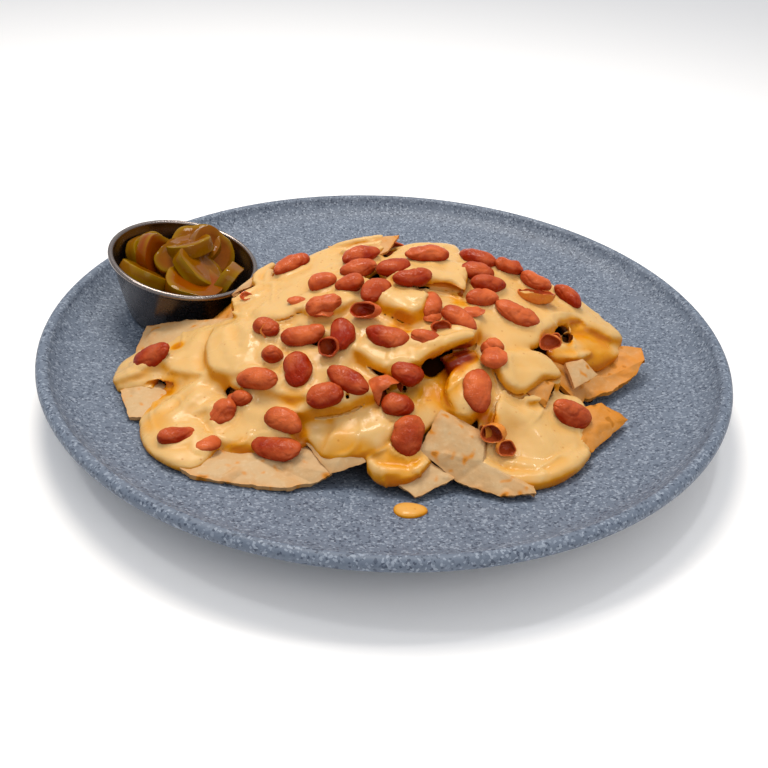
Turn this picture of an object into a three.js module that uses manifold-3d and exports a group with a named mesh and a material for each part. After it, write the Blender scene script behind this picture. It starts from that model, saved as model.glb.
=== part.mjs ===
// Nachos under cheese sauce and pinto beans on a stoneware plate, with a steel cup of pickled peppers.
// Millimetres, +Z up. The origin is the middle of the plate's foot, on the table.

import * as THREE from 'three';
import { mergeVertices } from 'three/addons/utils/BufferGeometryUtils.js';
import Module from 'manifold-3d';

const wasm = await Module();
wasm.setup();

// ---------------------------------------------------------------- driving dimensions

const GAP = 0.3;                // clearance left between touching pieces

const PLATE_RADIUS = 135;
const PLATE_HEIGHT = 24;        // top of the rim above the table
const PLATE_WALL = 3.4;
const PLATE_FLOOR = 4.8;        // height of the flat well
const PLATE_WELL_RADIUS = 71;   // the well ends and the sloping side begins
const PLATE_SLOPE_RADIUS = 120; // the slope ends and the rim turns up
const PLATE_SLOPE = 0.212;      // rise of the side for each mm outwards
const PLATE_LIP = 2.6;          // radius of the rounded rim
const FOOT_RADIUS = 60;
const FOOT_WIDTH = 6;
const PLATE_SIDES = 32;

const CUP_RIM_RADIUS = 29.4;
const CUP_BASE_RADIUS = 21;
const CUP_HEIGHT = 27.2;
const CUP_WALL = 1.0;
const CUP_BEAD = 1.1;           // radius of the rolled rim
const CUP_PLACE = [-91.0, 20.4, 10.7];
const CUP_LEAN = 12;            // degrees, down the plate's slope
const CUP_LEAN_TOWARDS = -15;   // degrees from +X
const CUP_SIDES = 24;

const PEPPER_THICKNESS = 5.6;   // a pickled slice
const PEPPER_BED = 13;          // depth of the packed slices under the loose top ones
const PEPPER_CLEAR = 0.2;       // more room than the gap, as the cup's wall is faceted

const HEAP_PEAK = 49;           // top of the sauce above the table
const HEAP_EDGE = 7;            // height of the dome where it meets the plate's well
const HEAP_SPREAD = 2.5;        // least height of the heap above the plate's slope
const HEAP_MIDDLE = [5, 2];
const HEAP_REACH = { left: 106, right: 102, front: 96, back: 56 };
const HEAP_FULLNESS = 0.8;      // exponent of the dome: lower is fuller
const CORE_COVER = 6.5;         // the packed chips end this far under the top of the sauce
const CORE_DROP = 2;            // clearance between them and the underside of the sauce
const CORE_SHRINK = 0.86;
const LEANING_CHIPS = 7;        // chips that show at the back and the right
const LEANING_FROM = 52;        // degrees round the heap from +X
const LEANING_TO = 165;
const LEANING_SKEW = 6;
const LEANING_TOP = 0.55;       // where a leaning chip's tip and foot lie, as shares of the heap's reach
const LEANING_FOOT = 1.04;
const LEANING_SPREAD = 12.5;    // half of its width, degrees round the heap

const CHIP_THICKNESS = 2.0;
const SAUCE_THICKNESS = 6.0;
const SAUCE_CROWN = 1.6;        // rise of a fold's middle over its edge

const DROP_SIZE = [11.5, 9.2, 2.4]; // the last is the height above the plate
const DROP_PLACE = [10.3, -99.2];

const BEAN_LENGTH = 15.5;
const BEAN_WIDTH = 9.4;
const BEAN_DEPTH = 7.6;
const BEAN_BEND = 1.3;          // how far the ends curl to one side
const BEAN_RIDE = 0.8;          // the middle of a bean above the top of the sauce

// ---------------------------------------------------------------- layout, mm

// Single chips, as corners on their upper faces.
const CHIPS = {
  chip_01: { crown: 1.5, corners: [[-26, 22, 45], [3, 23, 51], [-1, 11, 49], [-16, 2, 46]] },
  chip_02: { crown: 2.0, corners: [[-97, -6, 19], [-53, -16, 32], [-57, -50, 22], [-98, -37, 14.5]] },
  chip_03: {
    crown: 1.0,
    corners: [[-97, -46, 15], [-86, -37, 15], [-74, -48, 15], [-77, -61, 13], [-89, -62, 15]],
  },
  chip_04: {
    crown: 1.5,
    corners: [[-73, -85, 16], [-61, -92, 15.5], [-45, -93, 14], [-30, -93, 13], [-22, -89, 11.5],
      [-16, -86, 13], [-19, -78, 16], [-31, -68, 16], [-62, -60, 12]],
  },
  chip_05: {
    crown: 1.5,
    corners: [[-29, -72, 19], [-1, -69, 26], [0, -80, 19], [-7, -84, 16], [-16, -86, 13.5]],
  },
  chip_06: { crown: 0.8, corners: [[3.5, -87, 13.5], [15.5, -80, 17], [25, -85.5, 14], [12, -93.5, 12]] },
  chip_07: {
    crown: 1.0,
    corners: [[20, -67, 28], [12, -79, 20.5], [26, -86, 13], [39, -92, 13], [51, -92, 14.5],
      [51, -85, 13], [36, -79, 15], [35, -71, 22]],
  },
  chip_08: {
    crown: 1.5,
    corners: [[62, -54, 19], [80, -44, 18], [90, -48, 14.5], [74, -67, 13], [61, -77, 13]],
  },
  chip_09: {
    crown: -2.0,
    corners: [[94, -8, 22], [102, -9, 22], [102, -16, 21], [98, -21, 17], [93, -25, 15], [85, -31, 14],
      [79, -34.5, 14], [73, -33, 16.5], [79, -21, 18]],
  },
  chip_10: { crown: 0.6, corners: [[67, -33, 28], [74, -29, 27.5], [80, -33, 23.5], [70, -42, 23]] },
  chip_11: { crown: 0.6, corners: [[50, -53, 28], [57, -47, 29.5], [61, -47, 28], [57, -57, 24]] },
};

// Sauce folds, as rounded outlines on their upper faces; neighbours flow into each other.
const FOLDS = {
  back_left: [[-62, -12, 34], [-57, -5, 36.5], [-50, 2, 38.5], [-42, 9, 40.5], [-34, 20, 42], [-22, 25, 46],
    [-9, 22, 48], [-3, 10, 49], [-7, -4, 48], [-17, -15, 46], [-18, -27, 44], [-30, -34, 40],
    [-46, -30, 37]],
  plateau: [[-5, 0, 49], [4, 18, 49], [11, 22, 49], [27, 27, 47], [30, 6, 47], [27, -14, 47],
    [19, -12, 48], [12, -18, 48], [3, -15, 48]],
  lump: [[-6, -14, 49], [4, -12, 50], [13, -17, 49], [14, -30, 47], [11, -36, 45], [5, -35, 45],
    [-3, -27, 46]],
  centre_left: [[-37, -20, 42], [-17, -8, 47], [-4, -12, 48], [1, -28, 46], [6, -40, 43], [-9, -46, 39],
    [-31, -35, 40]],
  ridge: [[-16, -45, 39], [5, -35, 43], [19, -37, 43], [31, -35, 43], [32, -41, 42], [19, -48, 41],
    [10, -53, 39], [4, -58, 36], [-8, -57, 35]],
  saddle: [[8, -18, 46], [28, -6, 46], [36, -25, 44], [28, -37, 42], [5, -40, 42], [0, -28, 45]],
  right_centre: [[30, -28, 43], [45, -9, 43], [63, -2, 38], [67, -13, 35], [60, -28, 35], [46, -38, 37],
    [31, -43, 38]],
  right_top: [[27, 22, 46], [38, 18, 45], [54, 14, 42], [70, 8, 38], [63, -4, 38], [47, -10, 43],
    [31, -20, 44], [24, -6, 47]],
  right_slope: [[45, -4, 43], [69, 9, 38], [80, 6, 34], [89, 2, 29], [96, -7, 22], [84, -11, 26],
    [76, -8, 30], [66, -16, 34], [56, -24, 37]],
  pocket: [[70, -14, 30], [76, -10, 29.5], [84, -7, 26.5], [95, -8, 21], [91, -16, 20.5], [84, -23, 20],
    [76, -27, 23], [70, -30, 25.5], [62, -31, 29.5], [62, -25, 32]],
  hanging: [[38, -40, 38], [52, -35, 35], [62, -39, 31], [65, -44, 27], [58, -48, 30], [53, -55, 28],
    [47, -58, 28], [42, -55, 31], [36, -50, 34]],
  right_front: [[38, -48, 35], [44, -56, 31], [50, -58, 28], [55, -57, 26], [58, -52, 26], [62, -46, 26],
    [68, -43, 24], [73, -45, 21], [76, -52, 18], [77, -59, 14.5], [73, -69, 14.5], [62, -81, 15],
    [53, -86, 15], [42, -85, 14], [35, -82, 15.5], [32, -76, 19], [34, -66, 27]],
  bean_shelf: [[22, -34, 42], [36, -38, 40], [42, -50, 34], [37, -63, 30], [28, -69, 27.5], [22, -63, 31],
    [22, -56, 35], [25, -48, 38]],
  hollow_slope: [[29, -46, 36], [33, -60, 29], [30, -69, 24], [20, -70, 25], [10, -77, 21], [0, -76, 22],
    [-2, -64, 29], [6, -54, 34], [16, -48, 37]],
  front_flow: [[-3, -80, 18], [5, -78, 21.5], [14, -78, 20.5], [17, -82.5, 18.5], [13, -87.5, 17],
    [7.5, -89, 14.5], [1.5, -88, 12.5], [-4, -85, 14]],
  front_centre: [[-30, -69, 24], [-14, -67, 28], [0, -66, 30], [2, -79, 22], [-7, -83, 18.5],
    [-17, -84, 17], [-23, -79, 20]],
  mid_left: [[-52, -56, 26], [-46, -42, 33], [-30, -42, 37], [-13, -48, 38], [-3, -57, 36],
    [-4, -66, 32], [-14, -70, 29], [-25, -71, 26], [-38, -68, 24]],
  tongue: [[-60, -69, 15], [-53, -80, 14], [-41, -80, 13], [-27, -78, 18.5], [-25, -69, 24],
    [-38, -60, 27], [-50, -60, 24], [-57, -64, 18]],
  left_ridge: [[-66, -47, 23], [-56, -54, 23], [-50, -60, 23], [-54, -68, 17], [-56, -83, 18],
    [-62, -90, 17.5], [-71, -87, 18], [-79, -80, 17], [-85, -67, 16], [-85, -52, 15], [-78, -44, 17]],
  left: [[-90, -15, 20], [-76, -17, 26], [-54, -19, 34], [-44, -32, 36], [-48, -50, 29], [-60, -54, 24],
    [-78, -46, 19], [-99, -45, 16], [-103, -33, 16], [-98, -22, 17]],
  left_lobe: [[-45, -33, 38], [-36, -33, 40], [-38, -46, 36], [-48, -56, 29], [-61, -51, 26],
    [-67, -41, 27], [-66, -28, 30], [-56, -22, 35]],
  behind_left: [[-55, -5, 36], [-36, 16, 42], [-22, 24, 45], [0, 22, 47], [4, 38, 34], [-16, 47, 18],
    [-40, 38, 16], [-57, 20, 19]],
  behind_right: [[-2, 20, 47], [27, 25, 46], [45, 0, 43], [69, 7, 37], [82, 20, 22], [66, 38, 14],
    [32, 49, 14], [2, 46, 22]],
};

// Beans: place from above, heading and, where it differs, length, width and height above the heap.
const BEANS = [
  { at: [-40, 7.5], turn: 40, length: 17, rise: -0.5 },
  { at: [-87.5, -34], turn: -4, length: 18, width: 10.5, rise: 8.5 },
  { at: [-43, -36], turn: -33, length: 11, width: 8, rise: 2 },
  { at: [-30, -39.5], turn: 6, length: 16.5, rise: -0.5 },
  { at: [-15, -42], turn: -85, length: 14, width: 10 },
  { at: [0.5, -44], turn: -14, length: 16, rise: 1 },
  { at: [-44, -56], turn: -14, length: 16, rise: 1.5 },
  { at: [-40, -47], turn: -6, length: 8, width: 7, rise: 0.5 },
  { at: [-29.5, -55.5], turn: -80, length: 14.5, width: 11, rise: 1 },
  { at: [-12, -61], turn: -35, length: 16.5, rise: 1.5 },
  { at: [-20, -67], turn: 6, length: 13, width: 10.5, rise: 3 },
  { at: [8, -56.5], turn: -24, length: 12, rise: -0.5 },
  { at: [5, -66], turn: -4, length: 11.5, rise: -2.5 },
  { at: [8.5, -76.5], turn: 65, length: 15.5, width: 12, rise: -1.5 },
  { at: [-49, -60], turn: -4, length: 7.5, width: 7, rise: -0.5 },
  { at: [-56, -64], turn: 30, length: 12, rise: 1.5 },
  { at: [-68, -75.5], turn: 30, length: 15.5, rise: 3.5 },
  { at: [-58.5, -78], turn: 50, length: 10.5, width: 8, rise: 2 },
  { at: [-33, -71], turn: -26, length: 14.5, rise: 0.5 },
  { at: [-35, -78.5], turn: -10, length: 18, width: 11 },
  { at: [33, -60.5], turn: -88, length: 17, width: 11.5, rise: 0.5 },
  { at: [67, -56.5], turn: 8, length: 16.5, width: 11, rise: 0.5 },
  { at: [-25.5, -12], turn: 18, length: 11.5, width: 8 },
  { at: [-15, -15.5], turn: 24, length: 11.5, width: 8.5, rise: 0.5 },
  { at: [-5.5, -21.5], turn: 50, length: 13, width: 10.5, rise: 1 },
  { at: [-12.5, -3.5], turn: 19, length: 15, rise: -0.5 },
  { at: [-12, 6], turn: 24, length: 16 },
  { at: [1, -5], turn: 24, length: 14, rise: 0.5 },
  { at: [-23.5, -29], turn: 18, length: 14, width: 8.5, rise: 2 },
  { at: [8.5, -14.5], turn: 14, length: 15.5, width: 8.5, rise: 2.5 },
  { at: [14, 5], turn: 8, length: 17.5, width: 10, rise: 2 },
  { at: [35.5, 12.5], turn: -20, length: 16.5, rise: 1.5 },
  { at: [34, 1.5], turn: 10, length: 14.5 },
  { at: [38, -7.5], turn: 16, length: 15, width: 8, rise: 0.5 },
  { at: [47.5, 9], turn: 8, length: 12, rise: 2.5 },
  { at: [58, 3.5], turn: -14, length: 13.5, width: 8.5, rise: 2.5 },
  { at: [35, -16.5], turn: 16, length: 13.5, width: 8.5, rise: -0.5 },
  { at: [48.5, -21.5], turn: -16, length: 18, width: 10.5, rise: 0.5 },
  { at: [72, 2], turn: -37, length: 13.5, width: 8, rise: 3 },
  { at: [16.5, -25.5], turn: -96, length: 13, width: 9, rise: -1 },
  { at: [26.5, -33.5], turn: -34, length: 15, width: 9, rise: 1.5 },
  { at: [14, -45], turn: -12, length: 11, width: 8, rise: 2 },
  { at: [38, -39], turn: 20, length: 8.5, width: 8, rise: -2.5 },
];

// Loose top slices in the cup: place on the cup's axis system, then how each slice tips and turns.
const SLICES = [
  { at: [-15, 9, 18], tip: 52, turn: -27, radius: 11.5 },
  { at: [-11, 4, 20], tip: 66, turn: -25, radius: 11 },
  { at: [-6, 0, 24], tip: 37, turn: -92, radius: 6.5 },
  { at: [2, 14, 25], tip: 30, turn: -103, radius: 11.5 },
  { at: [1, 7, 29], tip: 29, turn: 151, radius: 9.5 },
  { at: [10, 11, 25], tip: 49, turn: -37, radius: 11.5 },
  { at: [7, -2, 25], tip: 38, turn: 12, radius: 10.5 },
  { at: [18, -3, 21], tip: 72, turn: 171, radius: 10.5 },
  { at: [-12.5, -9, 19], tip: 34, turn: 60, radius: 11.5 },
  { at: [6.5, -10.5, 21.5], tip: -4, turn: 150, radius: 11.5 },
];

// ---------------------------------------------------------------- solids

const degrees = THREE.MathUtils.degToRad;

// A three.js geometry as a manifold solid.
function solid(geometry) {
  const bare = geometry.clone();
  bare.deleteAttribute('normal');
  bare.deleteAttribute('uv');
  const welded = mergeVertices(bare, 1e-4);
  return new wasm.Manifold(new wasm.Mesh({
    numProp: 3,
    vertProperties: new Float32Array(welded.attributes.position.array),
    triVerts: new Uint32Array(welded.index.array),
  }));
}

// The largest connected body of a solid.
function largest(body) {
  const bodies = body.decompose();
  bodies.sort((a, b) => b.volume() - a.volume());
  return bodies[0];
}

// A manifold solid back as a three.js geometry.
function geometryOf(body) {
  const mesh = body.getMesh();
  const geometry = new THREE.BufferGeometry();
  geometry.setAttribute('position', new THREE.BufferAttribute(new Float32Array(mesh.vertProperties), 3));
  geometry.setIndex(new THREE.BufferAttribute(new Uint32Array(mesh.triVerts), 1));
  geometry.computeVertexNormals();
  return geometry;
}

// A solid turned about +Z from a closed profile of [radius, height] points.
function turned(profile, sides) {
  const points = profile.map(([radius, height]) => new THREE.Vector2(radius, height));
  const geometry = new THREE.LatheGeometry(points, sides);
  geometry.rotateX(Math.PI / 2);
  return geometry;
}

// Points of an arc in a profile, angles in degrees from +radius.
function arc([radius, height], size, from, to, steps) {
  const points = [];
  for (let step = 0; step <= steps; step += 1) {
    const angle = degrees(from + (to - from) * step / steps);
    points.push([radius + size * Math.cos(angle), height + size * Math.sin(angle)]);
  }
  return points;
}

// Height of the plate's upper face inside its rim.
function plateTop(x, y) {
  return PLATE_FLOOR + Math.max(0, Math.hypot(x, y) - PLATE_WELL_RADIUS) * PLATE_SLOPE;
}

// Height of the dome that the sauce follows, down to the plate; `cover` lowers it.
function heapTop(x, y, cover = 0) {
  const [middleX, middleY] = HEAP_MIDDLE;
  const reachX = x < middleX ? HEAP_REACH.left : HEAP_REACH.right;
  const reachY = y < middleY ? HEAP_REACH.front : HEAP_REACH.back;
  const out = ((x - middleX) / reachX) ** 2 + ((y - middleY) / reachY) ** 2;
  const dome = HEAP_EDGE + (HEAP_PEAK - cover - HEAP_EDGE) * Math.max(0, 1 - out) ** HEAP_FULLNESS;
  return Math.max(dome, plateTop(x, y) + HEAP_SPREAD);
}

// Direction at right angles to the dome.
function heapNormal(x, y) {
  const step = 2;
  const slopeX = (heapTop(x + step, y) - heapTop(x - step, y)) / (2 * step);
  const slopeY = (heapTop(x, y + step) - heapTop(x, y - step)) / (2 * step);
  return new THREE.Vector3(-slopeX, -slopeY, 1).normalize();
}

// Even samples round an outline of [x, y, z] points, rounded for sauce and straight for chips.
function samplesOf(outline, count, rounded) {
  const points = outline.map((point) => new THREE.Vector3(...point));
  if (rounded) {
    return new THREE.CatmullRomCurve3(points, true, 'centripetal').getSpacedPoints(count).slice(0, count);
  }
  const samples = [];
  points.forEach((point, index) => {
    const next = points[(index + 1) % points.length];
    samples.push(point, point.clone().lerp(next, 0.5));
  });
  return samples;
}

// A sheet over an outline: a sphere's rings are laid from the crowned middle out to the edge and back
// underneath. `roundness` 1 gives a soft edge and 0 a square one.
function sheet(outline, { count, rings, thickness, crown, roundness, rounded, grow = 0 }) {
  const loop = samplesOf(outline, count, rounded);
  const middle = loop.reduce((sum, point) => sum.add(point), new THREE.Vector3()).divideScalar(loop.length);
  const normal = new THREE.Vector3();
  loop.forEach((point, index) => {
    const next = loop[(index + 1) % loop.length];
    normal.add(point.clone().sub(middle).cross(next.clone().sub(middle)));
  });
  normal.normalize();
  if (normal.z < 0) {
    normal.negate();
    loop.reverse();
  }
  const geometry = new THREE.SphereGeometry(1, loop.length, rings);
  const position = geometry.attributes.position;
  const columns = loop.length + 1;
  for (let index = 0; index < position.count; index += 1) {
    const column = index % columns;
    const ring = Math.floor(index / columns);
    const polar = Math.PI * ring / rings;
    const swing = ring === rings ? 0 : Math.sin(polar);
    const soft = Math.sqrt(swing);
    const square = Math.min(1, swing / Math.sin(Math.PI * Math.floor(rings / 2) / rings));
    const out = THREE.MathUtils.lerp(square, soft, roundness);
    const face = Math.sign(Math.cos(polar)) * Math.abs(Math.cos(polar)) ** 0.6;
    const side = Math.abs(Math.cos(polar)) < 1e-6 ? 0 : Math.sign(Math.cos(polar));
    const depth = THREE.MathUtils.lerp(side, face, roundness);
    const edge = loop[column % loop.length];
    const reach = edge.clone().sub(middle);
    const spread = 1 + grow / reach.length();
    const lift = crown * (1 - out ** 2) + (depth - 1) * thickness / 2 + depth * grow;
    const place = middle.clone().addScaledVector(reach, out * spread).addScaledVector(normal, lift);
    position.setXYZ(index, place.x, place.y, place.z);
  }
  return geometry;
}

// ---------------------------------------------------------------- plate

function platePoints(raise) {
  const slopeTop = plateTop(PLATE_SLOPE_RADIUS, 0);
  const lipMiddle = [PLATE_RADIUS - PLATE_LIP, PLATE_HEIGHT - PLATE_LIP];
  const inside = [
    [0, PLATE_FLOOR],
    [PLATE_WELL_RADIUS, PLATE_FLOOR],
    [PLATE_SLOPE_RADIUS, slopeTop],
    [PLATE_SLOPE_RADIUS + 7, slopeTop + 3.6],
  ].map(([radius, height]) => [radius, height + raise]);
  const lip = arc(lipMiddle, PLATE_LIP, 150, -30, 4);
  const under = PLATE_FLOOR - PLATE_WALL;
  const outside = [
    [PLATE_SLOPE_RADIUS + 5, slopeTop - 1.4],
    [PLATE_SLOPE_RADIUS - 20, plateTop(PLATE_SLOPE_RADIUS - 20, 0) - PLATE_WALL - 1],
    [PLATE_WELL_RADIUS, under],
    [FOOT_RADIUS, under],
    [FOOT_RADIUS - 1, 0],
    [FOOT_RADIUS - FOOT_WIDTH, 0],
    [FOOT_RADIUS - FOOT_WIDTH - 1, under],
    [0, under],
  ];
  return [...inside, ...lip, ...outside];
}

function plateSolid(raise = 0) {
  return solid(turned(platePoints(raise).reverse(), PLATE_SIDES));
}

// ---------------------------------------------------------------- cup and peppers

function placeInCup(geometry) {
  const towards = degrees(CUP_LEAN_TOWARDS);
  const tipAxis = new THREE.Vector3(-Math.sin(towards), Math.cos(towards), 0);
  const lean = new THREE.Matrix4().makeRotationAxis(tipAxis, degrees(CUP_LEAN));
  geometry.applyMatrix4(lean);
  geometry.translate(...CUP_PLACE);
  return geometry;
}

function cupRadius(height) {
  return CUP_BASE_RADIUS + (CUP_RIM_RADIUS - CUP_BASE_RADIUS) * height / CUP_HEIGHT;
}

function cupSolid(grow = 0) {
  const beadMiddle = [CUP_RIM_RADIUS, CUP_HEIGHT];
  const profile = [
    [0, -grow],
    [CUP_BASE_RADIUS - 1.5, -grow],
    [CUP_BASE_RADIUS + grow, 1.5 - grow],
    ...arc(beadMiddle, CUP_BEAD + grow, -60, 160, 3),
  ];
  if (grow === 0) {
    const inside = CUP_BASE_RADIUS - CUP_WALL;
    profile.push([inside, 2], [inside - 1.5, CUP_WALL], [0, CUP_WALL]);
  } else {
    profile.push([0, CUP_HEIGHT]);
  }
  return solid(placeInCup(turned(profile, CUP_SIDES)));
}

function pepperSolid() {
  const clear = CUP_WALL + GAP + PEPPER_CLEAR;
  const bed = turned([
    [0, clear],
    [CUP_BASE_RADIUS - clear - 2, clear],
    [cupRadius(3) - clear, 3],
    [cupRadius(PEPPER_BED) - clear, PEPPER_BED],
    [cupRadius(PEPPER_BED) - clear - 5, PEPPER_BED + 3],
    [0, PEPPER_BED + 2],
  ], CUP_SIDES / 2);
  const mouth = CUP_RIM_RADIUS - clear - CUP_BEAD;
  const above = 2 * CUP_HEIGHT;
  const room = solid(turned([
    [0, clear],
    [CUP_BASE_RADIUS - clear - 2, clear],
    [mouth, CUP_HEIGHT],
    [mouth, above],
    [0, above],
  ], CUP_SIDES / 2));
  let heap = solid(bed);
  SLICES.forEach(({ at, tip, turn, radius }) => {
    const slice = new THREE.CylinderGeometry(radius, radius, PEPPER_THICKNESS, 8);
    slice.rotateX(Math.PI / 2);
    slice.rotateY(degrees(tip));
    slice.rotateZ(degrees(turn));
    slice.translate(...at);
    heap = heap.add(solid(slice));
  });
  return solid(placeInCup(geometryOf(largest(heap.intersect(room)))));
}

// ---------------------------------------------------------------- chips, sauce and beans

function chipSolid({ corners, crown }, grow = 0) {
  return solid(sheet(corners, {
    rings: 3, thickness: CHIP_THICKNESS, crown, roundness: 0, rounded: false, grow,
  }));
}

function foldSolid(outline) {
  return solid(sheet(outline, {
    count: 9, rings: 3, thickness: SAUCE_THICKNESS, crown: SAUCE_CROWN, roundness: 1, rounded: true,
  }));
}

// Chips packed under the sauce, down to the plate: a dome with chips leaning out all round its back and
// sides, each at its own angle.
function coreSolid(grow = 0) {
  const geometry = new THREE.SphereGeometry(1, 16, 6);
  geometry.rotateX(Math.PI / 2);
  const position = geometry.attributes.position;
  const [middleX, middleY] = HEAP_MIDDLE;
  for (let index = 0; index < position.count; index += 1) {
    const x = position.getX(index);
    const y = position.getY(index);
    const top = position.getZ(index) > 1e-3;
    const reachX = (x < 0 ? HEAP_REACH.left : HEAP_REACH.right) * CORE_SHRINK + grow;
    const reachY = (y < 0 ? HEAP_REACH.front : HEAP_REACH.back) * CORE_SHRINK + grow;
    const placeX = middleX + x * reachX;
    const placeY = middleY + y * reachY;
    const height = top ? heapTop(placeX, placeY, CORE_COVER) - CORE_DROP + grow : -grow;
    position.setXYZ(index, placeX, placeY, height);
  }
  return leaningChips().reduce((heap, corners) => {
    return heap.add(chipSolid({ corners, crown: 1.5 }, grow));
  }, solid(geometry));
}

// Corners of the chips that lean against the back and the right of the dome.
function leaningChips() {
  const [middleX, middleY] = HEAP_MIDDLE;
  const list = [];
  for (let index = 0; index < LEANING_CHIPS; index += 1) {
    const bearing = degrees(LEANING_FROM + (LEANING_TO - LEANING_FROM) * index / (LEANING_CHIPS - 1));
    const skew = degrees(LEANING_SKEW * (index % 2 === 0 ? 1 : -1));
    const at = (angle, share, lift) => {
      const x = middleX + Math.cos(angle) * HEAP_REACH.right * share;
      const y = middleY + Math.sin(angle) * HEAP_REACH.back * share;
      return [x, y, heapTop(x, y, CORE_COVER) + lift];
    };
    list.push([
      at(bearing + skew, LEANING_TOP, 1),
      at(bearing - degrees(LEANING_SPREAD), LEANING_FOOT, 3 + 2 * (index % 3)),
      at(bearing + degrees(LEANING_SPREAD), LEANING_FOOT, 2),
    ]);
  }
  return list;
}

function beanSolid({ at: [x, y], turn, length = BEAN_LENGTH, width = BEAN_WIDTH, rise = 0 }, grow = 0) {
  const geometry = new THREE.SphereGeometry(1, 7, 4);
  geometry.rotateZ(Math.PI / 2);
  const position = geometry.attributes.position;
  for (let index = 0; index < position.count; index += 1) {
    const along = position.getX(index);
    const across = position.getY(index) * (width / 2 + grow) + BEAN_BEND * (along ** 2 - 0.4);
    const up = position.getZ(index) * (BEAN_DEPTH / 2 + grow);
    position.setXYZ(index, along * (length / 2 + grow), across, up);
  }
  geometry.rotateZ(degrees(turn));
  const lean = new THREE.Quaternion().setFromUnitVectors(new THREE.Vector3(0, 0, 1), heapNormal(x, y));
  geometry.applyQuaternion(lean);
  geometry.translate(x, y, heapTop(x, y) + BEAN_RIDE + rise);
  return solid(geometry);
}

// A fallen drop of sauce: a low cap on the plate's slope, in front of the heap.
function dropSolid() {
  const [long, wide, height] = DROP_SIZE;
  const drop = new THREE.SphereGeometry(1, 12, 6);
  drop.rotateX(Math.PI / 2);
  drop.scale(long / 2, wide / 2, height);
  drop.rotateX(-Math.atan(PLATE_SLOPE));
  drop.translate(...DROP_PLACE, plateTop(...DROP_PLACE));
  return solid(drop);
}

// ---------------------------------------------------------------- fitting the pieces together

const plate = plateSolid();
const aboveTable = plateSolid(GAP);
const cup = cupSolid();
const cupRoom = cupSolid(GAP);

function union(bodies) {
  return bodies.reduce((joined, body) => joined.add(body));
}

const chips = {};
let taken = union([aboveTable, cupRoom]);
Object.entries(CHIPS).forEach(([name, chip]) => {
  chips[name] = largest(chipSolid(chip).subtract(taken));
  taken = taken.add(chipSolid(chip, GAP));
});

const core = largest(coreSolid().subtract(taken));
taken = taken.add(coreSolid(GAP));

const beans = {};
BEANS.forEach((bean, index) => {
  const name = `bean_${String(index + 1).padStart(2, '0')}`;
  beans[name] = largest(beanSolid(bean).subtract(taken));
  taken = taken.add(beanSolid(bean, GAP));
});

const sauce = largest(union(Object.values(FOLDS).map(foldSolid)).subtract(taken));

// ---------------------------------------------------------------- the object

const STONEWARE = { color: 0x6f7885, roughness: 0.55, metalness: 0 };
const STEEL = { color: 0xb9b7b5, roughness: 0.25, metalness: 1 };
const PEPPER = { color: 0x6b5a1c, roughness: 0.3, metalness: 0 };
const CHIP = { color: 0xd9a869, roughness: 0.7, metalness: 0 };
const CHEESE = { color: 0xe2b062, roughness: 0.3, metalness: 0 };
const BEAN = { color: 0xa8401f, roughness: 0.35, metalness: 0 };

const nachos = new THREE.Group();

function piece(name, body, finish) {
  const mesh = new THREE.Mesh(geometryOf(body), new THREE.MeshStandardMaterial(finish));
  mesh.name = name;
  nachos.add(mesh);
}

piece('plate', plate, STONEWARE);
piece('sauce_cup', cup, STEEL);
piece('pepper_slices', pepperSolid(), PEPPER);
piece('chip_heap', core, CHIP);
Object.entries(chips).forEach(([name, body]) => piece(name, body, CHIP));
piece('cheese_sauce', sauce, CHEESE);
piece('sauce_drop', dropSolid().subtract(taken), CHEESE);
Object.entries(beans).forEach(([name, body]) => piece(name, body, BEAN));

export default nachos;
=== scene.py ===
"""Looks for the plated nachos: chips under cheese sauce, beans, a steel cup of pickled peppers.

Metres, +Z up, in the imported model's frame. Lengths in the lists and functions are millimetres.
"""
import itertools
import math

import bpy
import numpy as np
from mathutils import Matrix, Vector


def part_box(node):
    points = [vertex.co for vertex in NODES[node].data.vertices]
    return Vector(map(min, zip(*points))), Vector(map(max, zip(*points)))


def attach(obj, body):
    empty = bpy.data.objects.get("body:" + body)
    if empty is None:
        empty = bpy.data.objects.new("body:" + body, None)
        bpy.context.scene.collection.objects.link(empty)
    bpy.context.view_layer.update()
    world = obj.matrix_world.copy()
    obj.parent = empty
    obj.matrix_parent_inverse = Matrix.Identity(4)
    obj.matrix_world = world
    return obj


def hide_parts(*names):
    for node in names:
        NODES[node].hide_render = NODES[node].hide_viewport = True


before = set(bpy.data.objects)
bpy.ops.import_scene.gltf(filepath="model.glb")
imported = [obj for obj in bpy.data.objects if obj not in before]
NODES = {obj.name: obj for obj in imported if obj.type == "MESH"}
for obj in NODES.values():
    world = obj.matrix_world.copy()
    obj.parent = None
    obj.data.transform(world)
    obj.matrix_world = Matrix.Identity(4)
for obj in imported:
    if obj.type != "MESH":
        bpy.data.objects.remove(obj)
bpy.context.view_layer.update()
BEANS = sorted(name for name in NODES if name.startswith("bean_"))
MM = 0.001

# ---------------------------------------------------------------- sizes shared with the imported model

PLATE_RADIUS = 135.0
PLATE_HEIGHT = 24.0
PLATE_WALL = 3.4
PLATE_FLOOR = 4.8
WELL_RADIUS = 71.0
SLOPE_RADIUS = 120.0
SLOPE = 0.212
LIP_RADIUS = 2.6
FOOT_RADIUS = 60.0
FOOT_WIDTH = 6.0

CUP_RIM_RADIUS = 29.4
CUP_BASE_RADIUS = 21.0
CUP_HEIGHT = 27.2
CUP_WALL = 0.8
CUP_BEAD = 1.1
CUP_CLEARANCE = 6.0     # packed and leaning chips keep this far from the rim
CUP_PLACE = (-91.0, 20.4, 10.7)
CUP_LEAN = math.radians(12.0)
CUP_LEAN_TOWARDS = math.radians(-15.0)

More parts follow.
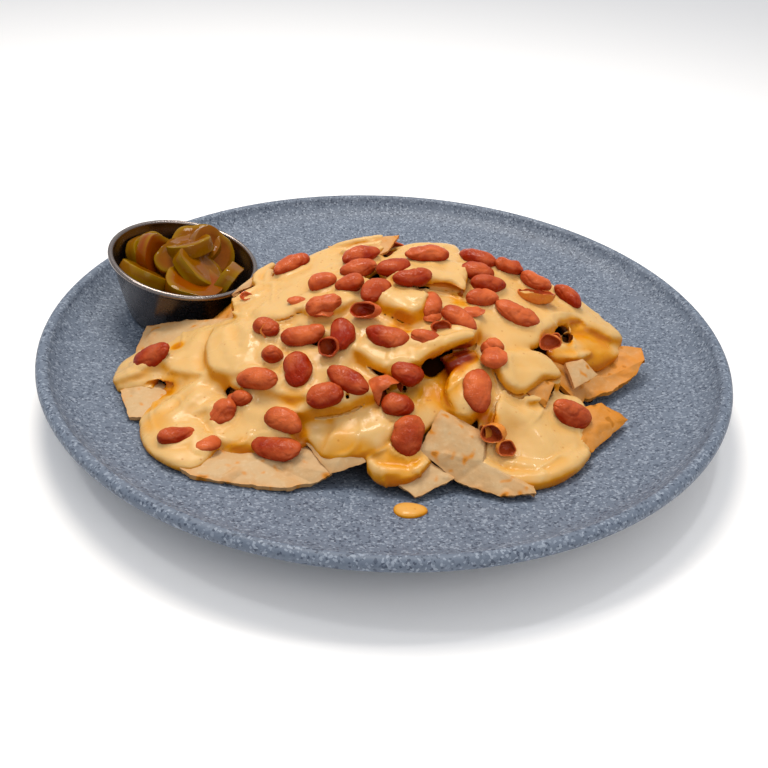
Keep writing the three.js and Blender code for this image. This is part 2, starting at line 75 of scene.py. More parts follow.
HEAP_PEAK = 49.0
HEAP_EDGE = 7.0
HEAP_MIDDLE = (5.0, 2.0)
HEAP_REACH = {"left": 106.0, "right": 102.0, "front": 96.0, "back": 56.0}
HEAP_FULLNESS = 0.8
CORE_SINK = 17.0        # the peak of the hidden core's dome is this much lower than the heap's
CORE_DROP = 4.0         # and the whole core lies this much lower again
CORE_SHRINK = 0.72      # its reach, as a share of the heap's
PACKED_CHIPS = 70       # whole chips lying between the core and the sauce
PACKED_REACH = 22.0     # from the middle of such a chip to its corners
PACKED_DEEP = 0.68      # this share of them, round the heap's middle, is painted dark as shade
PACKED_SPREAD = 0.86    # their middles start within this share of the heap's reach
PACKED_LIMIT = 0.82     # their corners are drawn in to this share of it
PACKED_COVER = 5.0      # and stay this far under the dome
GOLDEN_ANGLE = 2.39996  # spreads what repeats evenly round a middle

SAUCE_THICKNESS = 5.0
SAUCE_CROWN = 1.2
SAUCE_VOXEL = 0.9       # grain of the flowed-together sauce
CHIP_THICKNESS = 1.7
SKIN_THICKNESS = 0.5
SLICE_THICKNESS = 5.8
HIDDEN_SLICES = 10      # pepper slices beneath the ones on top
HIDDEN_RADIUS = 11.5

# ---------------------------------------------------------------- shapes of the food

# Outlines on the upper faces of the sauce's folds.
FOLDS = {
    "back_left": [(-62, -12, 34), (-57, -5, 36.5), (-50, 2, 38.5), (-42, 9, 40.5), (-34, 20, 42),
        (-22, 25, 46), (-9, 22, 48), (-3, 10, 49), (-7, -4, 48), (-17, -15, 46), (-18, -27, 44),
        (-30, -34, 40), (-46, -30, 37)],
    "plateau": [(-5, 0, 49), (4, 18, 49), (11, 22, 49), (27, 27, 47), (30, 6, 47), (27, -14, 47),
        (19, -12, 48), (12, -18, 48), (3, -15, 48)],
    "lump": [(-6, -14, 49), (4, -12, 50), (13, -17, 49), (14, -30, 47), (11, -36, 45), (5, -35, 45),
        (-3, -27, 46)],
    "centre_left": [(-37, -20, 42), (-17, -8, 47), (-4, -12, 48), (1, -28, 46), (6, -40, 43),
        (-9, -46, 39), (-31, -35, 40)],
    "ridge": [(-16, -45, 39), (5, -35, 43), (19, -37, 43), (31, -35, 43), (32, -41, 42), (19, -48, 41),
        (10, -53, 39), (4, -58, 36), (-8, -57, 35)],
    "saddle": [(8, -18, 46), (28, -6, 46), (36, -25, 44), (28, -37, 42), (5, -40, 42), (0, -28, 45)],
    "right_centre": [(30, -28, 43), (45, -9, 43), (63, -2, 38), (67, -13, 35), (60, -28, 35),
        (46, -38, 37), (31, -43, 38)],
    "right_top": [(27, 22, 46), (38, 18, 45), (54, 14, 42), (70, 8, 38), (63, -4, 38), (47, -10, 43),
        (31, -20, 44), (24, -6, 47)],
    "right_slope": [(45, -4, 43), (69, 9, 38), (80, 6, 34), (89, 2, 29), (96, -7, 22), (84, -11, 26),
        (76, -8, 30), (66, -16, 34), (56, -24, 37)],
    "pocket": [(70, -14, 30), (76, -10, 29.5), (84, -7, 26.5), (95, -8, 21), (91, -16, 20.5),
        (84, -23, 20), (76, -27, 23), (70, -30, 25.5), (62, -31, 29.5), (62, -25, 32)],
    "hanging": [(38, -40, 38), (52, -35, 35), (62, -39, 31), (65, -44, 27), (58, -48, 30),
        (53, -55, 28), (47, -58, 28), (42, -55, 31), (36, -50, 34)],
    "right_front": [(38, -48, 35), (44, -56, 31), (50, -58, 28), (55, -57, 26), (58, -52, 26),
        (62, -46, 26), (68, -43, 24), (73, -45, 21), (76, -52, 18), (77, -59, 14.5), (73, -69, 14.5),
        (62, -81, 15), (53, -86, 15), (42, -85, 14), (35, -82, 15.5), (32, -76, 19), (34, -66, 27)],
    "bean_shelf": [(22, -34, 42), (36, -38, 40), (42, -50, 34), (37, -63, 30), (28, -69, 27.5),
        (22, -63, 31), (22, -56, 35), (25, -48, 38)],
    "hollow_slope": [(29, -46, 36), (33, -60, 29), (30, -69, 24), (20, -70, 25), (10, -77, 21),
        (0, -76, 22), (-2, -64, 29), (6, -54, 34), (16, -48, 37)],
    "front_flow": [(-3, -80, 18), (5, -78, 21.5), (14, -78, 20.5), (17, -82.5, 18.5), (13, -87.5, 17),
        (7.5, -89, 14.5), (1.5, -88, 12.5), (-4, -85, 14)],
    "front_centre": [(-30, -69, 24), (-14, -67, 28), (0, -66, 30), (2, -79, 22), (-7, -83, 18.5),
        (-17, -84, 17), (-23, -79, 20)],
    "mid_left": [(-52, -56, 26), (-46, -42, 33), (-30, -42, 37), (-13, -48, 38), (-3, -57, 36),
        (-4, -66, 32), (-14, -70, 29), (-25, -71, 26), (-38, -68, 24)],
    "tongue": [(-60, -69, 15), (-53, -80, 14), (-41, -80, 13), (-27, -78, 18.5), (-25, -69, 24),
        (-38, -60, 27), (-50, -60, 24), (-57, -64, 18)],
    "left_ridge": [(-66, -47, 23), (-56, -54, 23), (-50, -60, 23), (-54, -68, 17), (-56, -83, 18),
        (-62, -90, 17.5), (-71, -87, 18), (-79, -80, 17), (-85, -67, 16), (-85, -52, 15),
        (-78, -44, 17)],
    "left": [(-90, -15, 20), (-76, -17, 26), (-54, -19, 34), (-44, -32, 36), (-48, -50, 29),
        (-60, -54, 24), (-78, -46, 19), (-99, -45, 16), (-103, -33, 16), (-98, -22, 17)],
    "left_lobe": [(-45, -33, 38), (-36, -33, 40), (-38, -46, 36), (-48, -56, 29), (-61, -51, 26),
        (-67, -41, 27), (-66, -28, 30), (-56, -22, 35)],
    "behind_left": [(-55, -5, 36), (-36, 16, 42), (-22, 24, 45), (0, 22, 47), (4, 38, 34),
        (-16, 47, 18), (-40, 38, 16), (-57, 20, 19)],
    "behind_right": [(-2, 20, 47), (27, 25, 46), (45, 0, 43), (69, 7, 37), (82, 20, 22), (66, 38, 14),
        (32, 49, 14), (2, 46, 22)],
}

# Lips where one sheet of sauce ends over a lower one, with the higher side on the left of the line's way:
# points, rise behind, drop in front, how far each fades out, and radius of the gap cut under the lip.
LIPS = [
    ([(2, -14), (4, -15.5), (11, -14), (18, -12.5), (24, -12.5), (28, -15), (30, -10), (31, 2)],
     2.4, 2.6, 20, 12, 1.7),                                                             # plateau
    ([(-7, -18), (-5, -25), (-1.5, -29.5), (4, -33), (9, -34.5), (13, -31), (15, -24)], 2.2, 2.6, 14, 9, 1.0),
    ([(-9, -50), (-2, -55.5), (3.5, -56.5), (8, -53.5), (13.5, -50.5), (19, -46.5), (24.5, -43.5), (31, -41),
      (33, -36)], 1.6, 3.6, 14, 13, 1.5),                                                # ridge
    ([(-27, -69.5), (-19.5, -70), (-13.5, -69.5), (-9, -68), (-4, -65)], 1.6, 2.4, 11, 12, 0.9),
    ([(-60, -66), (-57.5, -71), (-54.5, -75.5), (-49.5, -78), (-44, -78.5), (-38, -77)], 1.8, 0.4, 12, 6, 0),
    ([(38, -48), (40, -52), (43, -56), (47.5, -56.5), (52.5, -53), (57.5, -47.5), (63, -44.5), (67, -39)],
     2.0, 2.4, 14, 8, 1.2),                                                              # hanging lobe
    ([(58, -27), (64, -19), (70, -13), (76, -10.5), (82, -10), (90, -9), (98, -3)], 2.0, 0.5, 12, 6, 0),
    ([(-65.5, -27), (-66.5, -37), (-64.5, -44.5), (-61, -50), (-54, -54)], 2.0, 1.6, 13, 7, 0),
    ([(-47, -28), (-38, -30), (-32, -27.5), (-26.5, -31.5), (-19, -31), (-13, -26)], 1.6, 1.6, 12, 8, 0.7),
    ([(-101, -43), (-91, -42), (-84, -38.5), (-77, -43), (-67, -47.5)], 1.4, 1.2, 11, 6, 1.0),
    ([(-49, -55), (-42, -59.5), (-33, -64), (-27, -66)], 1.0, 1.2, 9, 8, 0),
    ([(39, -50), (40, -57), (38, -65), (36.5, -70.5), (34.5, -76)], 1.8, 2.0, 10, 7, 0.8),  # right of hollow
    ([(-16, -72), (-17.5, -77), (-20, -81)], 0.2, 1.6, 5, 7, 0),
    ([(26, -46), (23.5, -52), (21.5, -58), (21.5, -63), (25, -67.5)], 1.2, 1.6, 9, 9, 0.7),  # by a tall bean
]

# Soft waves in the sauce: points along each, height and width.
WAVES = [
    ([(-78, -62), (-72, -54), (-64, -49)], 1.6, 3.0),
    ([(-73, -67), (-66, -58), (-59, -52)], 1.3, 2.6),
    ([(-78, -44), (-72, -47), (-66, -49)], 1.2, 2.4),
    ([(-60, -30), (-58, -38), (-54, -46)], 0.9, 2.2),
    ([(-55, -27), (-51, -36), (-50, -43)], 0.8, 2.0),
    ([(40, -46), (50, -41), (60, -36)], 1.2, 3.2),
    ([(46, -64), (54, -70), (60, -78)], 0.9, 3.0),
    ([(-1, 17), (10, 21), (24, 21)], 1.0, 3.0),
    ([(-44, 2), (-34, 14), (-22, 20)], 1.0, 3.2),
    ([(-20, -76), (-8, -77), (2, -74)], 0.8, 2.6),
    ([(30, 16), (46, 12), (64, 8)], 0.9, 3.0),
    ([(-40, 26), (-44, 36), (-40, 46)], 1.6, 3.2),
    ([(-14, 30), (-12, 42), (-16, 52)], 1.8, 3.4),
    ([(14, 32), (20, 42), (18, 52)], 1.6, 3.2),
    ([(44, 26), (54, 34), (56, 44)], 1.6, 3.2),
    ([(70, 14), (80, 20), (86, 22)], 1.2, 3.0),
]

# Rolled edges of the sauce: points along each, and its radius.
ROLLS = [
    ([(3, -57, 34), (8, -54, 37.5), (14, -51, 40.5), (20, -47, 42.5), (26, -44, 43.2), (31, -41.5, 43)], 2.6),
    ([(-3, -82, 17), (-1.5, -86, 13.5), (3, -87.5, 13), (8, -87.5, 14.5), (13, -86, 17),
      (15.5, -82.5, 18.5)], 2.6),                                                        # front flow
    ([(-2, -85, 15), (4, -87, 14.8), (10, -86, 16)], 3.8),
    ([(33, -79, 17), (36, -83, 14.5), (43, -85, 13.5), (52, -85, 14), (62, -80, 14.5), (71, -69, 14.5)], 3.4),
    ([(36, -77, 15.5), (45, -80, 14.8), (54, -80, 14.8), (61, -76, 15), (67, -68, 15.5)], 3.2),
    ([(22, -49, 34), (26.5, -47.5, 35.5), (32, -44.5, 37)], 3.2),                        # wall under it
    ([(49, -57, 27), (53, -55.5, 25.5), (58, -52, 25)], 2.2),
    ([(-24, 19, 46), (-12, 20, 48.6), (-3, 20.5, 50.8)], 2.4),                           # film on a chip
    ([(-20, 11, 47), (-10, 14.5, 48.8), (-3, 16.5, 50)], 2.6),
    ([(-14, 5, 47), (-7, 9, 48.6), (-2.5, 13, 49.6)], 2.2),
    ([(-16, -82, 15.5), (-10.5, -81, 17.5), (-5, -80, 19), (1, -78.5, 20)], 1.6),        # front centre
    ([(-50, -15, 36), (-52, -19, 35.5), (-55, -19, 34.5), (-56, -15, 34.5)], 1.1),       # crumbly curls
    ([(-45, -16, 38), (-47, -20, 37.5), (-50, -22, 36.5)], 1.2),
    ([(-60, -16, 33), (-57, -20, 33.5), (-53, -22, 35)], 1.3),
    ([(-49, 0, 37.5), (-55, -5.5, 36), (-61, -10.5, 33.8)], 2.4),                        # lobe by the cup
    ([(-48, -8, 37.5), (-54, -12, 36), (-60, -13, 33.5)], 2.6),
    ([(-50.5, -4, 37), (-53.5, 3, 36), (-53, 10, 35.5), (-48, 18, 37)], 2.6),
    ([(-48, -3, 38), (-50, 5, 37.2), (-48, 12, 37)], 2.4),
    ([(62, -27.5, 28.5), (67, -28, 27), (73, -26, 26), (79, -20, 25)], 2.2),             # pad in the pocket
    ([(70.5, -12, 32), (71.5, -16, 30), (73, -20, 27.5)], 1.0),
    ([(-56, -50, 25.5), (-52.5, -54, 25.5), (-49, -57, 25.5)], 2.6),
]

# Dark gaps in the sauce: points along each, and its radius.
GAPS = [
    ([(20, -16, 42), (22, -11, 41), (24, -4, 38)], 2.0),       # under the plateau's lip
    ([(15.6, -63, 42.3), (16.1, -56, 37.7), (16.6, -48.8, 33), (17.2, -40, 27.3)], 3.9),     # under the ridge
    ([(18.2, -63, 42.9), (18.7, -56, 38.3), (19.2, -48.8, 33.6), (19.8, -40, 27.9)], 2.8),
    ([(5, -67, 35), (6, -60, 30), (8, -52, 27)], 1.7),
    ([(-12, -69, 33), (-12.5, -64, 29), (-12, -56, 25)], 1.6),
    ([(67.5, -26, 34.6), (69, -19.8, 31), (70.9, -12, 26.4)], 3.3),          # pocket at the right
    ([(72.4, -19, 33.8), (73.7, -14.1, 31), (74.2, -12.3, 30)], 1.4),
    ([(58.4, -33, 32.4), (59.3, -29, 30), (60.5, -24, 27)], 1.2),
    ([(-89, -46, 17.5), (-84, -43.5, 17), (-77, -46.5, 18)], 2.2),           # torn open beside the left lip
    ([(-84, -48, 18), (-82.5, -42, 16), (-81, -36, 14)], 2.6),
    ([(-63.5, -50.5, 24.5), (-62.9, -47.3, 22.5), (-62, -43, 20)], 0.8),
    ([(38.5, -61, 33), (38, -65, 29.5), (37.3, -68, 26), (35.5, -71, 22)], 1.5),   # crack beside a tall bean
    ([(36.5, -66, 28), (35, -69, 25), (33.5, -71, 22.5)], 1.6),
    ([(-60, -20, 33.5), (-59.5, -14, 31), (-58.5, -6, 28)], 1.5),            # beside the cup
    ([(-54, -20, 34.5), (-52, -16, 31)], 1.0),
    ([(-30, 52, 24), (-28, 40, 26)], 3.6),                     # openings at the back
    ([(2, 55, 22), (2, 42, 26)], 3.2),
    ([(36, 50, 22), (34, 38, 26)], 3.6),
    ([(66, 40, 18), (62, 30, 22)], 3.0),
]

# Where the sauce is deeper orange, partly as thick sauce and partly as painted shade beside the gaps: place
# in plan, radius and strength.
SOAKED = [
    ((20, -58), 11, 0.6), ((10, -62), 8, 0.45), ((7, -84), 12, 0.5), ((82, -17), 13, 0.6),
    ((74, -12), 6, 0.4), ((-80, -48), 7, 0.8), ((-83, -57), 6, 0.6), ((-78, -68), 8, 0.4),
    ((-79, -28), 4, 0.9), ((45, -84), 9, 0.25), ((60, -82), 9, 0.25), ((-14, -80), 9, 0.35),
    ((-28, -74), 5, 0.8), ((5, -36), 6, 0.5), ((-47, -79), 6, 0.45), ((-30, -63), 6, 0.3),
    ((66, -34), 5, 0.4), ((-84, -10), 5, 0.4), ((-70, -14), 5, 0.5), ((27, -20), 5, 0.5),
    ((62, -28), 6, 0.5), ((70, -27), 6, 0.4), ((-6, -82), 6, 0.4),
]

# Hollows and undersides painted brown as shade: place, radius and strength.
BROWNED = [
    ((23, -48, 36.5), 9, 1.5), ((29, -45, 38), 6, 1.3), ((15, -50, 33), 5, 0.8), ((69, -20, 30), 4, 0.8),
    ((60, -28, 29), 4, 0.7), ((86, -11, 25), 5, 0.2), ((36, -68, 26), 5, 0.9), ((-83, -43, 15), 4, 0.8),
    ((26, -14, 43), 4, 0.4), ((25, -49, 35), 4, 0.6), ((-60, -15, 31), 4, 0.9), ((5, -61, 30), 4, 0.7),
]

# Torn skins of beans: place in plan, lift, half sizes, the way the opening faces, how far it is shut, tint.
TORN_SKINS = [
    ((0.3, -60.0), 3.8, (6.6, 5.2, 5.2), (0.75, -0.6, -0.2), 0.45, 0.8),
    ((-20.0, -49.5), 3.9, (3.9, 3.6, 3.6), (-0.1, -0.8, 0.45), 0.5, 0.6),
    ((-24.5, -31.6), 0.0, (5.0, 3.0, 1.8), (-0.3, -0.3, -0.9), -0.1, 1.0),
    ((-7.7, -33.4), 3.1, (5.6, 3.6, 2.8), (-0.5, -0.6, 0.6), 0.5, 0.8),
    ((19.0, -39), 1.2, (3.4, 2.6, 2.2), (0.3, -0.8, 0.2), 0.3, 0.7),
    ((38.2, -47.1), 0.6, (4.6, 5.2, 2.4), (0.2, 0.5, -0.8), 0.0, 0.8),
    ((57.5, -5.5), 2.2, (7.4, 4.2, 3.8), (0.1, 0.3, 0.95), 0.25, 1.7),
    ((16.2, -30.1), 0.2, (4.4, 3.0, 1.6), (0.0, 0.3, -0.9), -0.1, 0.9),
    ((-54.8, -11.6), 0.4, (2.6, 1.8, 1.4), (0.0, -0.6, 0.6), 0.0, 1.3),
    ((-41.5, -38.5), 0.8, (4.0, 2.4, 3.0), (0.5, -0.6, 0.4), 0.0, 1.6),
    ((31.6, -26.8), 0.2, (4.2, 2.8, 1.6), (0.3, 0.2, -0.9), -0.1, 0.8),
    ((0.5, 17.1), 0.8, (5.2, 3.2, 2.2), (0.2, -0.7, 0.4), 0.1, 1.0),
    ((-50.5, -59.5), 0.2, (4.0, 3.4, 1.8), (0.2, 0.2, -0.9), -0.1, 0.6),
    ((-34, -22), 0.0, (3.6, 2.2, 1.4), (0.1, 0.3, -0.9), -0.1, 0.9),
    ((63.8, -24.5), 1.4, (3.4, 3.0, 3.6), (0.55, -0.7, 0.45), -0.1, 1.6),
    ((60.5, -30.5), 0.8, (3.8, 3.2, 2.8), (-0.3, -0.85, 0.35), 0.2, 1.5),
    ((37.5, -74.0), 3.7, (4.4, 4.0, 3.2), (-0.4, -0.85, 0.3), 0.4, 1.8),
    ((41.5, -77.0), 2.9, (3.4, 3.0, 2.6), (0.3, -0.85, 0.35), 0.35, 1.7),
    ((34.8, -71.2), 1.8, (2.6, 2.6, 3.0), (-0.9, -0.3, 0.1), 0.3, 1.9),
]

# Bare chips by node: corners on the upper face, rise of the middle, toasting.
CHIPS = {
    "chip_01": ([(-26, 22, 45), (3, 23, 51), (-1, 11, 49), (-16, 2, 46)], 1.5, 0.45),
    "chip_02": ([(-97, -6, 19), (-53, -16, 32), (-57, -50, 22), (-98, -37, 14.5)], 2.0, 0.1),
    "chip_03": ([(-97, -46, 15), (-86, -37, 15), (-74, -48, 15), (-77, -61, 13), (-89, -62, 15)], 1.0, 0.0),
    "chip_04": ([(-73, -85, 16), (-61, -92, 15.5), (-45, -93, 14), (-30, -93, 13), (-22, -89, 11.5),
                 (-16, -86, 13), (-19, -78, 16), (-31, -68, 16), (-62, -60, 12)], 1.5, 0.05),
    "chip_05": ([(-29, -72, 19), (-1, -69, 26), (0, -80, 19), (-7, -84, 16), (-16, -86, 13.5)], 1.5, 0.05),
    "chip_06": ([(3.5, -87, 13.5), (15.5, -80, 17), (25, -85.5, 14), (12, -93.5, 12)], 0.8, 0.05),
    "chip_07": ([(20, -67, 28), (12, -79, 20.5), (26, -86, 13), (39, -92, 13), (51, -92, 14.5),
                 (51, -85, 13), (36, -79, 15), (35, -71, 22)], 1.0, 0.1),
    "chip_08": ([(62, -54, 19), (80, -44, 18), (90, -48, 14.5), (74, -67, 13), (61, -77, 13)], 1.5, 0.8),
    "chip_09": ([(94, -8, 22), (102, -9, 22), (102, -16, 21), (98, -21, 17), (93, -25, 15), (85, -31, 14),
                 (77, -37, 14.5), (70, -38, 17.5), (67, -33, 22), (79, -21, 19)], -2.0, 0.75),
    "chip_10": ([(67, -33, 28), (74, -29, 27.5), (80, -33, 23.5), (70, -42, 23)], 0.3, 0.1),
    "chip_11": ([(50, -53, 28), (57, -47, 29.5), (61, -47, 28), (57, -57, 24)], 0.6, 0.8),
}

# Beans that have burst, beans with a crack across them, and beans of a deeper red.
CRUSHED = ("bean_16", "bean_29", "bean_31", "bean_35", "bean_43")
CRACKED = ("bean_03", "bean_25", "bean_30", "bean_38")
DEEP_RED = ("bean_05", "bean_09", "bean_10", "bean_12", "bean_13", "bean_14", "bean_30", "bean_32")

# Chips that lean out of the heap: corners of the ones at the right, and a fan of them round the back.
RIGHT_CHIPS = (((68, 20, 26), (92, 8, 14.5), (88, 26, 13)), ((60, 27, 27), (85, 31, 12), (70, 42, 11)))
LEANING_CHIPS = 7
LEANING_FROM = 52.0     # bearings round the heap's middle, degrees
LEANING_TO = 165.0
LEANING_SKEW = 6.0
LEANING_SPREAD = 12.5
LEANING_TOP = 0.55      # shares of the heap's reach
LEANING_FOOT = 1.04

# Pepper slices in the cup's own axes: middle, tip and turn in degrees, radius, how amber.
SLICES = [
    ((-15, 9, 18), 52, -27, 11.5, 0.1),
    ((-12, 5, 20), 66, -25, 11.5, 0.9),
    ((-6, 1, 24), 37, -92, 6.5, 0.2),
    ((2, 14, 25), 30, -103, 11.5, 0.3),
    ((0, 7, 29), 29, 151, 10.0, 0.2),
    ((9, 12, 25), 49, -37, 11.5, 0.4),
    ((7, -3, 25), 28, 12, 11.0, 0.15),
    ((18, -3, 21), 72, 171, 10.5, 0.2),
    ((-12.5, -9, 20), 34, 60, 12.0, 0.1),
    ((6.5, -10.5, 22.5), -6, 150, 12.0, 0.6),
]

# Soft lights: name, place and target in metres, width, watts, colour.
LAMPS = [
    ("key", (-0.12, 0.26, 0.76), (0, -0.02, 0.02), 0.30, 3.8, "#fff6ea"),
    ("glint", (0.16, 0.10, 0.60), (0, -0.02, 0.02), 0.06, 0.42, "#ffffff"),
    ("glint_left", (-0.30, -0.06, 0.55), (0, -0.02, 0.02), 0.06, 0.34, "#ffffff"),
    ("fill", (0.30, -0.55, 0.55), (0, 0, 0), 0.5, 1.1, "#fff8f0"),
]


# ---------------------------------------------------------------- small helpers

def linear(code):
    """An sRGB hex colour as linear RGBA."""
    channels = [int(code[index:index + 2], 16) / 255 for index in (1, 3, 5)]
    return [c / 12.92 if c <= 0.04045 else ((c + 0.055) / 1.055) ** 2.4 for c in channels] + [1.0]


def add(tree, kind, inputs=None, out=None, **settings):
    """Adds a shader node and gives its output of this name, or its first live one.

    Inputs are values, or other nodes' outputs to link from.
    """
    made = tree.nodes.new("ShaderNode" + kind)
    for key, value in settings.items():
        setattr(made, key, value)
    for key, value in (inputs or {}).items():
        if isinstance(value, bpy.types.NodeSocket):
            tree.links.new(value, made.inputs[key])
        else:
            made.inputs[key].default_value = value
    return next((socket for socket in made.outputs if socket.enabled and out in (None, socket.name)), None)


def new_material(name):
    """A material with an empty node tree, and the tree."""
    material = bpy.data.materials.new(name)
    material.use_nodes = True
    tree = material.node_tree
    tree.nodes.clear()
    return material, tree


def finish_material(material, surface):
    """Links the shader to the material's output."""
    add(material.node_tree, "OutputMaterial", {"Surface": surface})
    return material


def begin(primitive, **settings):
    """Adds a primitive with nothing else selected."""
    bpy.ops.object.select_all(action="DESELECT")
    primitive(**settings)
    return bpy.context.object


def select_only(*pieces):
    """Selects these pieces and makes the first one active."""
    bpy.ops.object.select_all(action="DESELECT")
    for piece in pieces:
        piece.select_set(True)
    bpy.context.view_layer.objects.active = pieces[0]


def modify(piece, kind, **settings):
    """Adds a modifier and applies it."""
    select_only(piece)
    modifier = piece.modifiers.new(kind.title(), kind)
    for key, value in settings.items():
        setattr(modifier, key, value)
    bpy.ops.object.modifier_apply(modifier=modifier.name)


def join(pieces, name):
    """One piece of this name from several."""
    select_only(*pieces)
    if len(pieces) > 1:
        bpy.ops.object.join()
    joined = bpy.context.object
    joined.name = name
    joined.data.name = name
    return joined


def smooth_over(piece, degrees):
    """Smooth shading, but for edges sharper than this angle."""
    select_only(piece)
    bpy.ops.object.shade_smooth_by_angle(angle=math.radians(degrees))


def dress(piece, material, node):
    """Gives a finished piece its material and its place in the frame. Some pieces stand for no node."""
    piece.data.materials.clear()
    piece.data.materials.append(material)
    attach(piece, "root")
    if node:
        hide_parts(node)


def vertices_of(piece):
    """Places of the vertices in metres, a row for each."""
    count = len(piece.data.vertices)
    flat = np.empty(count * 3)
    piece.data.vertices.foreach_get("co", flat)
    return flat.reshape(count, 3)


def normals_of(piece):
    """Outward normals at the vertices, a row for each."""
    flat = np.empty(len(piece.data.vertices) * 3)
    piece.data.vertices.foreach_get("normal", flat)
    return flat.reshape(-1, 3)


def move_vertices(piece, places):
    """Puts the vertices at these places, in metres."""
    piece.data.vertices.foreach_set("co", np.asarray(places, dtype=float).ravel())
    piece.data.update()


def store(piece, name, values):
    """Stores one number for each vertex."""
    layer = piece.data.attributes.new(name, "FLOAT", "POINT")
    layer.data.foreach_set("value", np.asarray(values, dtype=np.float32))


def step(value, low, high):
    """Smooth step from 0 at low to 1 at high."""
    share = np.clip((value - low) / (high - low), 0, 1)
    return share * share * (3 - 2 * share)


def rumple(points, size, height, seed):
    """Smooth random heights for points in mm, with lumps about `size` across."""
    table = np.random.default_rng(int(seed * 10)).normal(size=(4096, 3))
    table /= np.linalg.norm(table, axis=1)[:, None]
    cell = np.asarray(points, dtype=float) / size + 100 + seed
    base = np.floor(cell).astype(np.int64)
    part = cell - base
    fade = part ** 3 * (part * (part * 6 - 15) + 10)
    total = np.zeros(len(cell))
    # each corner of a cell picks its slope from the table by a hash of its place
    for corner in itertools.product((0, 1), repeat=3):
        key = ((base + corner) * (73856093, 19349663, 83492791)).sum(axis=1) & 4095
        weight = np.prod(np.where(corner, fade, 1 - fade), axis=1)
        total += weight * np.einsum("ij,ij->i", table[key], part - corner)
    return total * 1.7 * height


def turned(name, profile, sides):
    """A solid turned from a profile of (radius, height) in mm: rings are extruded and resized in turn."""
    radius, height = profile[0]
    piece = begin(bpy.ops.mesh.primitive_circle_add, vertices=sides, radius=radius * MM,
                  location=(0, 0, height * MM))
    bpy.ops.object.mode_set(mode="EDIT")
    for (last_radius, last_height), (next_radius, next_height) in zip(profile, profile[1:]):
        bpy.ops.mesh.extrude_region()
        share = next_radius / last_radius
        bpy.ops.transform.resize(value=(share, share, 1))
        bpy.ops.transform.translate(value=(0, 0, (next_height - last_height) * MM))
    bpy.ops.mesh.select_all(action="SELECT")
    bpy.ops.mesh.remove_doubles(threshold=0.01 * MM)
    bpy.ops.mesh.fill_holes(sides=0)
    bpy.ops.mesh.select_all(action="SELECT")
    bpy.ops.mesh.normals_make_consistent(inside=False)
    bpy.ops.object.mode_set(mode="OBJECT")
    bpy.ops.object.transform_apply(location=True, rotation=True, scale=True)
    piece.name = name
    piece.data.name = name
    return piece


def arc(centre, size, start, end, steps):
    """Points of an arc in a profile, degrees from the outward direction."""
    points = []
    for index in range(steps + 1):
        angle = math.radians(start + (end - start) * index / steps)
        points.append((centre[0] + size * math.cos(angle), centre[1] + size * math.sin(angle)))
    return points


def plate_top(x, y):
    """Height of the plate's upper face inside its rim."""
    return PLATE_FLOOR + np.maximum(0, np.hypot(x, y) - WELL_RADIUS) * SLOPE


def heap_reach(across, deep):
    """The heap's reach along X and Y on the side that a place lies on, as measured from its middle."""
    return (np.where(across < 0, HEAP_REACH["left"], HEAP_REACH["right"]),
            np.where(deep < 0, HEAP_REACH["front"], HEAP_REACH["back"]))


def heap_top(x, y, sink=0.0):
    """Height of the dome that the sauce follows, down to the plate."""
    across, deep = x - HEAP_MIDDLE[0], y - HEAP_MIDDLE[1]
    reach_x, reach_y = heap_reach(across, deep)
    out = (across / reach_x) ** 2 + (deep / reach_y) ** 2
    dome = HEAP_EDGE + (HEAP_PEAK - sink - HEAP_EDGE) * np.maximum(0, 1 - out) ** HEAP_FULLNESS
    return np.maximum(dome, plate_top(x, y) + 2.5)


def smooth_between(points, parts):
    """Samples of a smooth curve from the second of the points to the last but one."""
    share = np.linspace(0, 1, parts, endpoint=False)[:, None]
    return np.concatenate([0.5 * (2 * start + (end - before) * share
                                  + (2 * before - 5 * start + 4 * end - after) * share ** 2
                                  + (3 * start - before - 3 * end + after) * share ** 3)
                           for before, start, end, after in zip(points, points[1:], points[2:], points[3:])])


def smooth_line(points, parts=6):
    """A smooth open line through the points."""
    line = np.array(points, dtype=float)
    line = np.concatenate([[2 * line[0] - line[1]], line, [2 * line[-1] - line[-2]]])
    return np.concatenate([smooth_between(line, parts), line[-2:-1]])


def rounded_loop(outline, count):
    """Even samples on a smooth closed curve through the outline's points."""
    points = np.array(outline, dtype=float)
    fine = smooth_between(np.concatenate([points[-1:], points, points[:2]]), 16)
    fine = np.concatenate([fine, points[:1]])
    lengths = np.concatenate([[0], np.cumsum(np.linalg.norm(np.diff(fine, axis=0), axis=1))])
    at = np.linspace(0, lengths[-1], count, endpoint=False)
    return np.stack([np.interp(at, lengths, fine[:, axis]) for axis in range(3)], axis=1)


def loop_frame(loop):
    """Middle and upward normal of a loop of points, and the loop turned to match."""
    middle = loop.mean(axis=0)
    following = np.roll(loop, -1, axis=0)
    normal = np.cross(loop - middle, following - middle).sum(axis=0)
    normal /= np.linalg.norm(normal)
    if normal[2] < 0:
        return middle, -normal, loop[::-1]
    return middle, normal, loop


# ---------------------------------------------------------------- camera, light, floor

def view_camera():
    """The camera, in front of the plate and above it, looking down at the heap and slightly rolled."""
    data = bpy.data.cameras.new("camera")
    data.lens = 39.84
    data.sensor_width = 36.0
    data.clip_start = 0.01
    data.clip_end = 10
    camera = bpy.data.objects.new("camera", data)
    bpy.context.scene.collection.objects.link(camera)
    camera.location = (0, -0.30073, 0.19590)
    tilt = 0.59555    # looking down, radians
    roll = 0.05012
    forward = Vector((0, math.cos(tilt), -math.sin(tilt)))
    right = Vector((1, 0, 0))
    up = right.cross(forward)
    right_rolled = right * math.cos(roll) + up * math.sin(roll)
    up_rolled = up * math.cos(roll) - right * math.sin(roll)
    camera.rotation_euler = Matrix((right_rolled, up_rolled, -forward)).transposed().to_euler()
    bpy.context.scene.camera = camera


